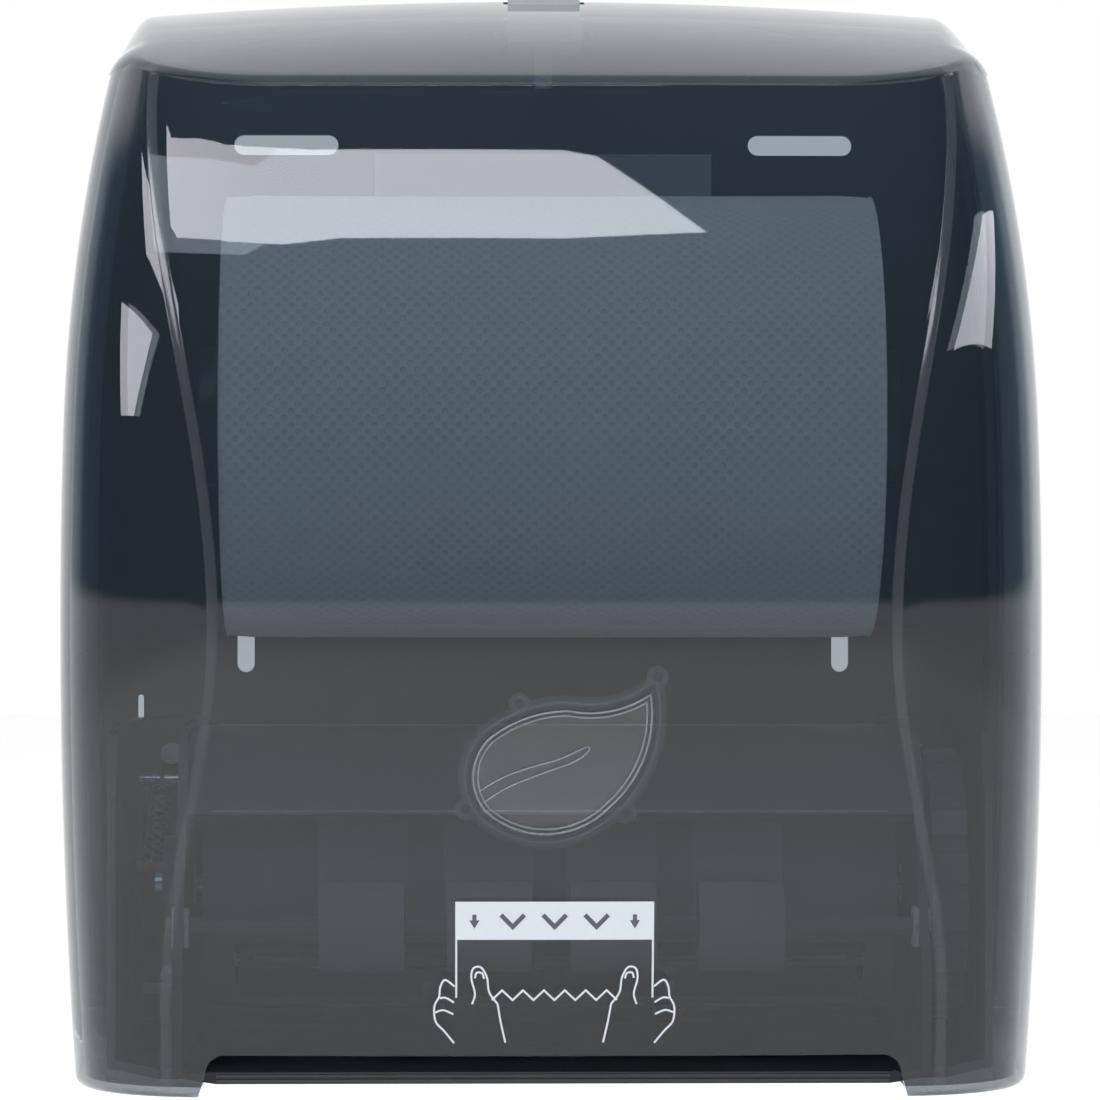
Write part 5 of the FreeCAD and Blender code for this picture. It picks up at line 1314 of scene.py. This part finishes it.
@dataclass
class CoverPrint:
    """A plain pictogram of a sheet that is drawn down by both hands, on the outside of the cover."""

    form: CoverForm = field(default_factory=CoverForm)
    top: float = -111.8
    across: float = 0.885
    along: float = 0.90
    lift: float = 0.10

    def spot(self, x: float, rise: float) -> Point:
        """A point of the print, a little in front of the panel, drawn from its top edge down."""
        level = self.top + rise * self.along
        return self.form.on_front(x * self.across, level, self.form.sink(level) - self.lift)

    def area(self, draft: Draft, left: float, right: float, foot: float, top: float) -> None:
        """A filled rectangle that follows the cover."""
        across, up = 12, 6
        draft.rows([[self.spot(left + (right - left) * i / across, foot + (top - foot) * j / up)
                     for i in range(across + 1)] for j in range(up + 1)])

    def stroke(self, draft: Draft, path: Sequence[tuple[float, float]], width: float) -> None:
        """A line of even width along a path."""
        rows: list[list[Point]] = []
        for number, (x, level) in enumerate(path):
            before = path[max(number - 1, 0)]
            after = path[min(number + 1, len(path) - 1)]
            run = Vector((after[0] - before[0], after[1] - before[1])).normalized()
            side = Vector((-run.y, run.x)) * width / 2
            if 0 < number < len(path) - 1:
                one = Vector((x - before[0], level - before[1])).normalized()
                bend = max(one.dot(run), 0.5)
                side /= bend
            rows.append([self.spot(x + side.x, level + side.y), self.spot(x - side.x, level - side.y)])
        draft.rows(rows)

    @staticmethod
    def curve(points: Sequence[tuple[float, float]], steps: int = 6) -> list[tuple[float, float]]:
        """A smooth path through points."""
        ends = [points[0], *points, points[-1]]
        path = []
        for a, b, c, d in zip(ends, ends[1:], ends[2:], ends[3:]):
            for step in range(steps):
                t = step / steps
                path.append(tuple(
                    0.5 * (2 * b[k] + (c[k] - a[k]) * t + (2 * a[k] - 5 * b[k] + 4 * c[k] - d[k]) * t ** 2
                           + (3 * b[k] - a[k] - 3 * c[k] + d[k]) * t ** 3) for k in (0, 1)))
        return [*path, points[-1]]

    def build(self) -> None:
        """Draw the band, the sheet and the hands."""
        top, foot = 0.0, -12.7
        left, right = -33.2, 33.2
        draft = Draft()
        self.area(draft, left, right, foot, top)
        line = 0.66
        for x in (left + line / 2, right - line / 2):
            self.stroke(draft, [(x, foot + 0.2 - 2.8 * step) for step in range(8)], line)
        teeth = [(-21.0 + 3.5 * number, -32.9 if number % 2 == 0 else -29.6) for number in range(13)]
        self.stroke(draft, teeth, line)
        for side in (-1, 1):
            self.hand(draft, side, line)
        draft.piece("cover_print", Dress.INK, "cover", "label_paper")
        self.marks()

    def marks(self) -> None:
        """Dark marks on the band: an arrow at each end and three chevrons that point down between them."""
        draft = Draft()
        self.lift += 0.05
        for x in (-26.8, 26.8):
            self.area(draft, x - 0.7, x + 0.7, -6.6, -4.3)
            draft.rows([[self.spot(x - 1.7, -6.2), self.spot(x + 1.7, -6.2)],
                        [self.spot(x - 0.05, -8.9), self.spot(x + 0.05, -8.9)]])
        for x in (-14.0, 0.0, 14.0):
            self.stroke(draft, [(x - 3.9, -4.4), (x, -8.4), (x + 3.9, -4.4)], 1.5)
        draft.piece("cover_print_marks", Dress.MARK, "cover", "label_paper")

    def hand(self, draft: Draft, side: int, line: float) -> None:
        """One hand in outline: a thumb over the sheet, folded fingers and a wrist."""
        thumb = [(-19.0, -34.2), (-21.8, -30.3), (-22.6, -25.3), (-24.6, -21.9), (-27.2, -22.3),
                 (-27.8, -25.7), (-26.6, -30.7), (-27.6, -34.3)]
        palm = [(-19.0, -34.2), (-18.0, -40.1), (-16.4, -47.3)]
        knuckles = [(-33.4, -28.3), (-36.6, -26.1), (-38.2, -28.5), (-38.6, -31.7), (-40.2, -35.1),
                    (-39.8, -40.1), (-37.0, -43.3), (-33.6, -47.5)]
        folds = [[(-33.6, -33.7), (-36.4, -32.1), (-38.4, -32.3)],
                 [(-33.8, -37.7), (-37.2, -36.3), (-39.9, -37.1)]]
        nail = [(-23.6, -25.7), (-24.2, -23.9), (-26.0, -23.7), (-26.6, -25.5)]
        for path in (thumb, palm, knuckles, nail, *folds):
            self.stroke(draft, self.curve([(side * -x, level) for x, level in path]), line)


# Whole object

@dataclass
class Dispenser:
    """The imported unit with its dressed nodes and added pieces."""

    nodes: dict[str, bpy.types.Object]

    def dress(self) -> None:
        """Give every CAD node its finish."""
        for name, node in self.nodes.items():
            material = NODE_DRESS[name].value.material()
            node.data.materials.clear()
            node.data.materials.append(material)
            LOG.info("dressed %s", name)

    def build(self) -> None:
        """Dress the nodes and add the pieces."""
        self.dress()
        CoverWall().build()
        HingeBosses().build()
        LeafWindow().build()
        HoodEdgeHighlights().build()
        TowelRoll().build()
        CoverPrint().build()


def main() -> None:
    """Load the frame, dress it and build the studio."""
    logging.basicConfig(level=logging.INFO)
    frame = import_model()
    bpy.context.scene.view_settings.view_transform = "Standard"
    Dispenser(frame["nodes"]).build()
    Studio().build()


if __name__ == "__main__":
    main()
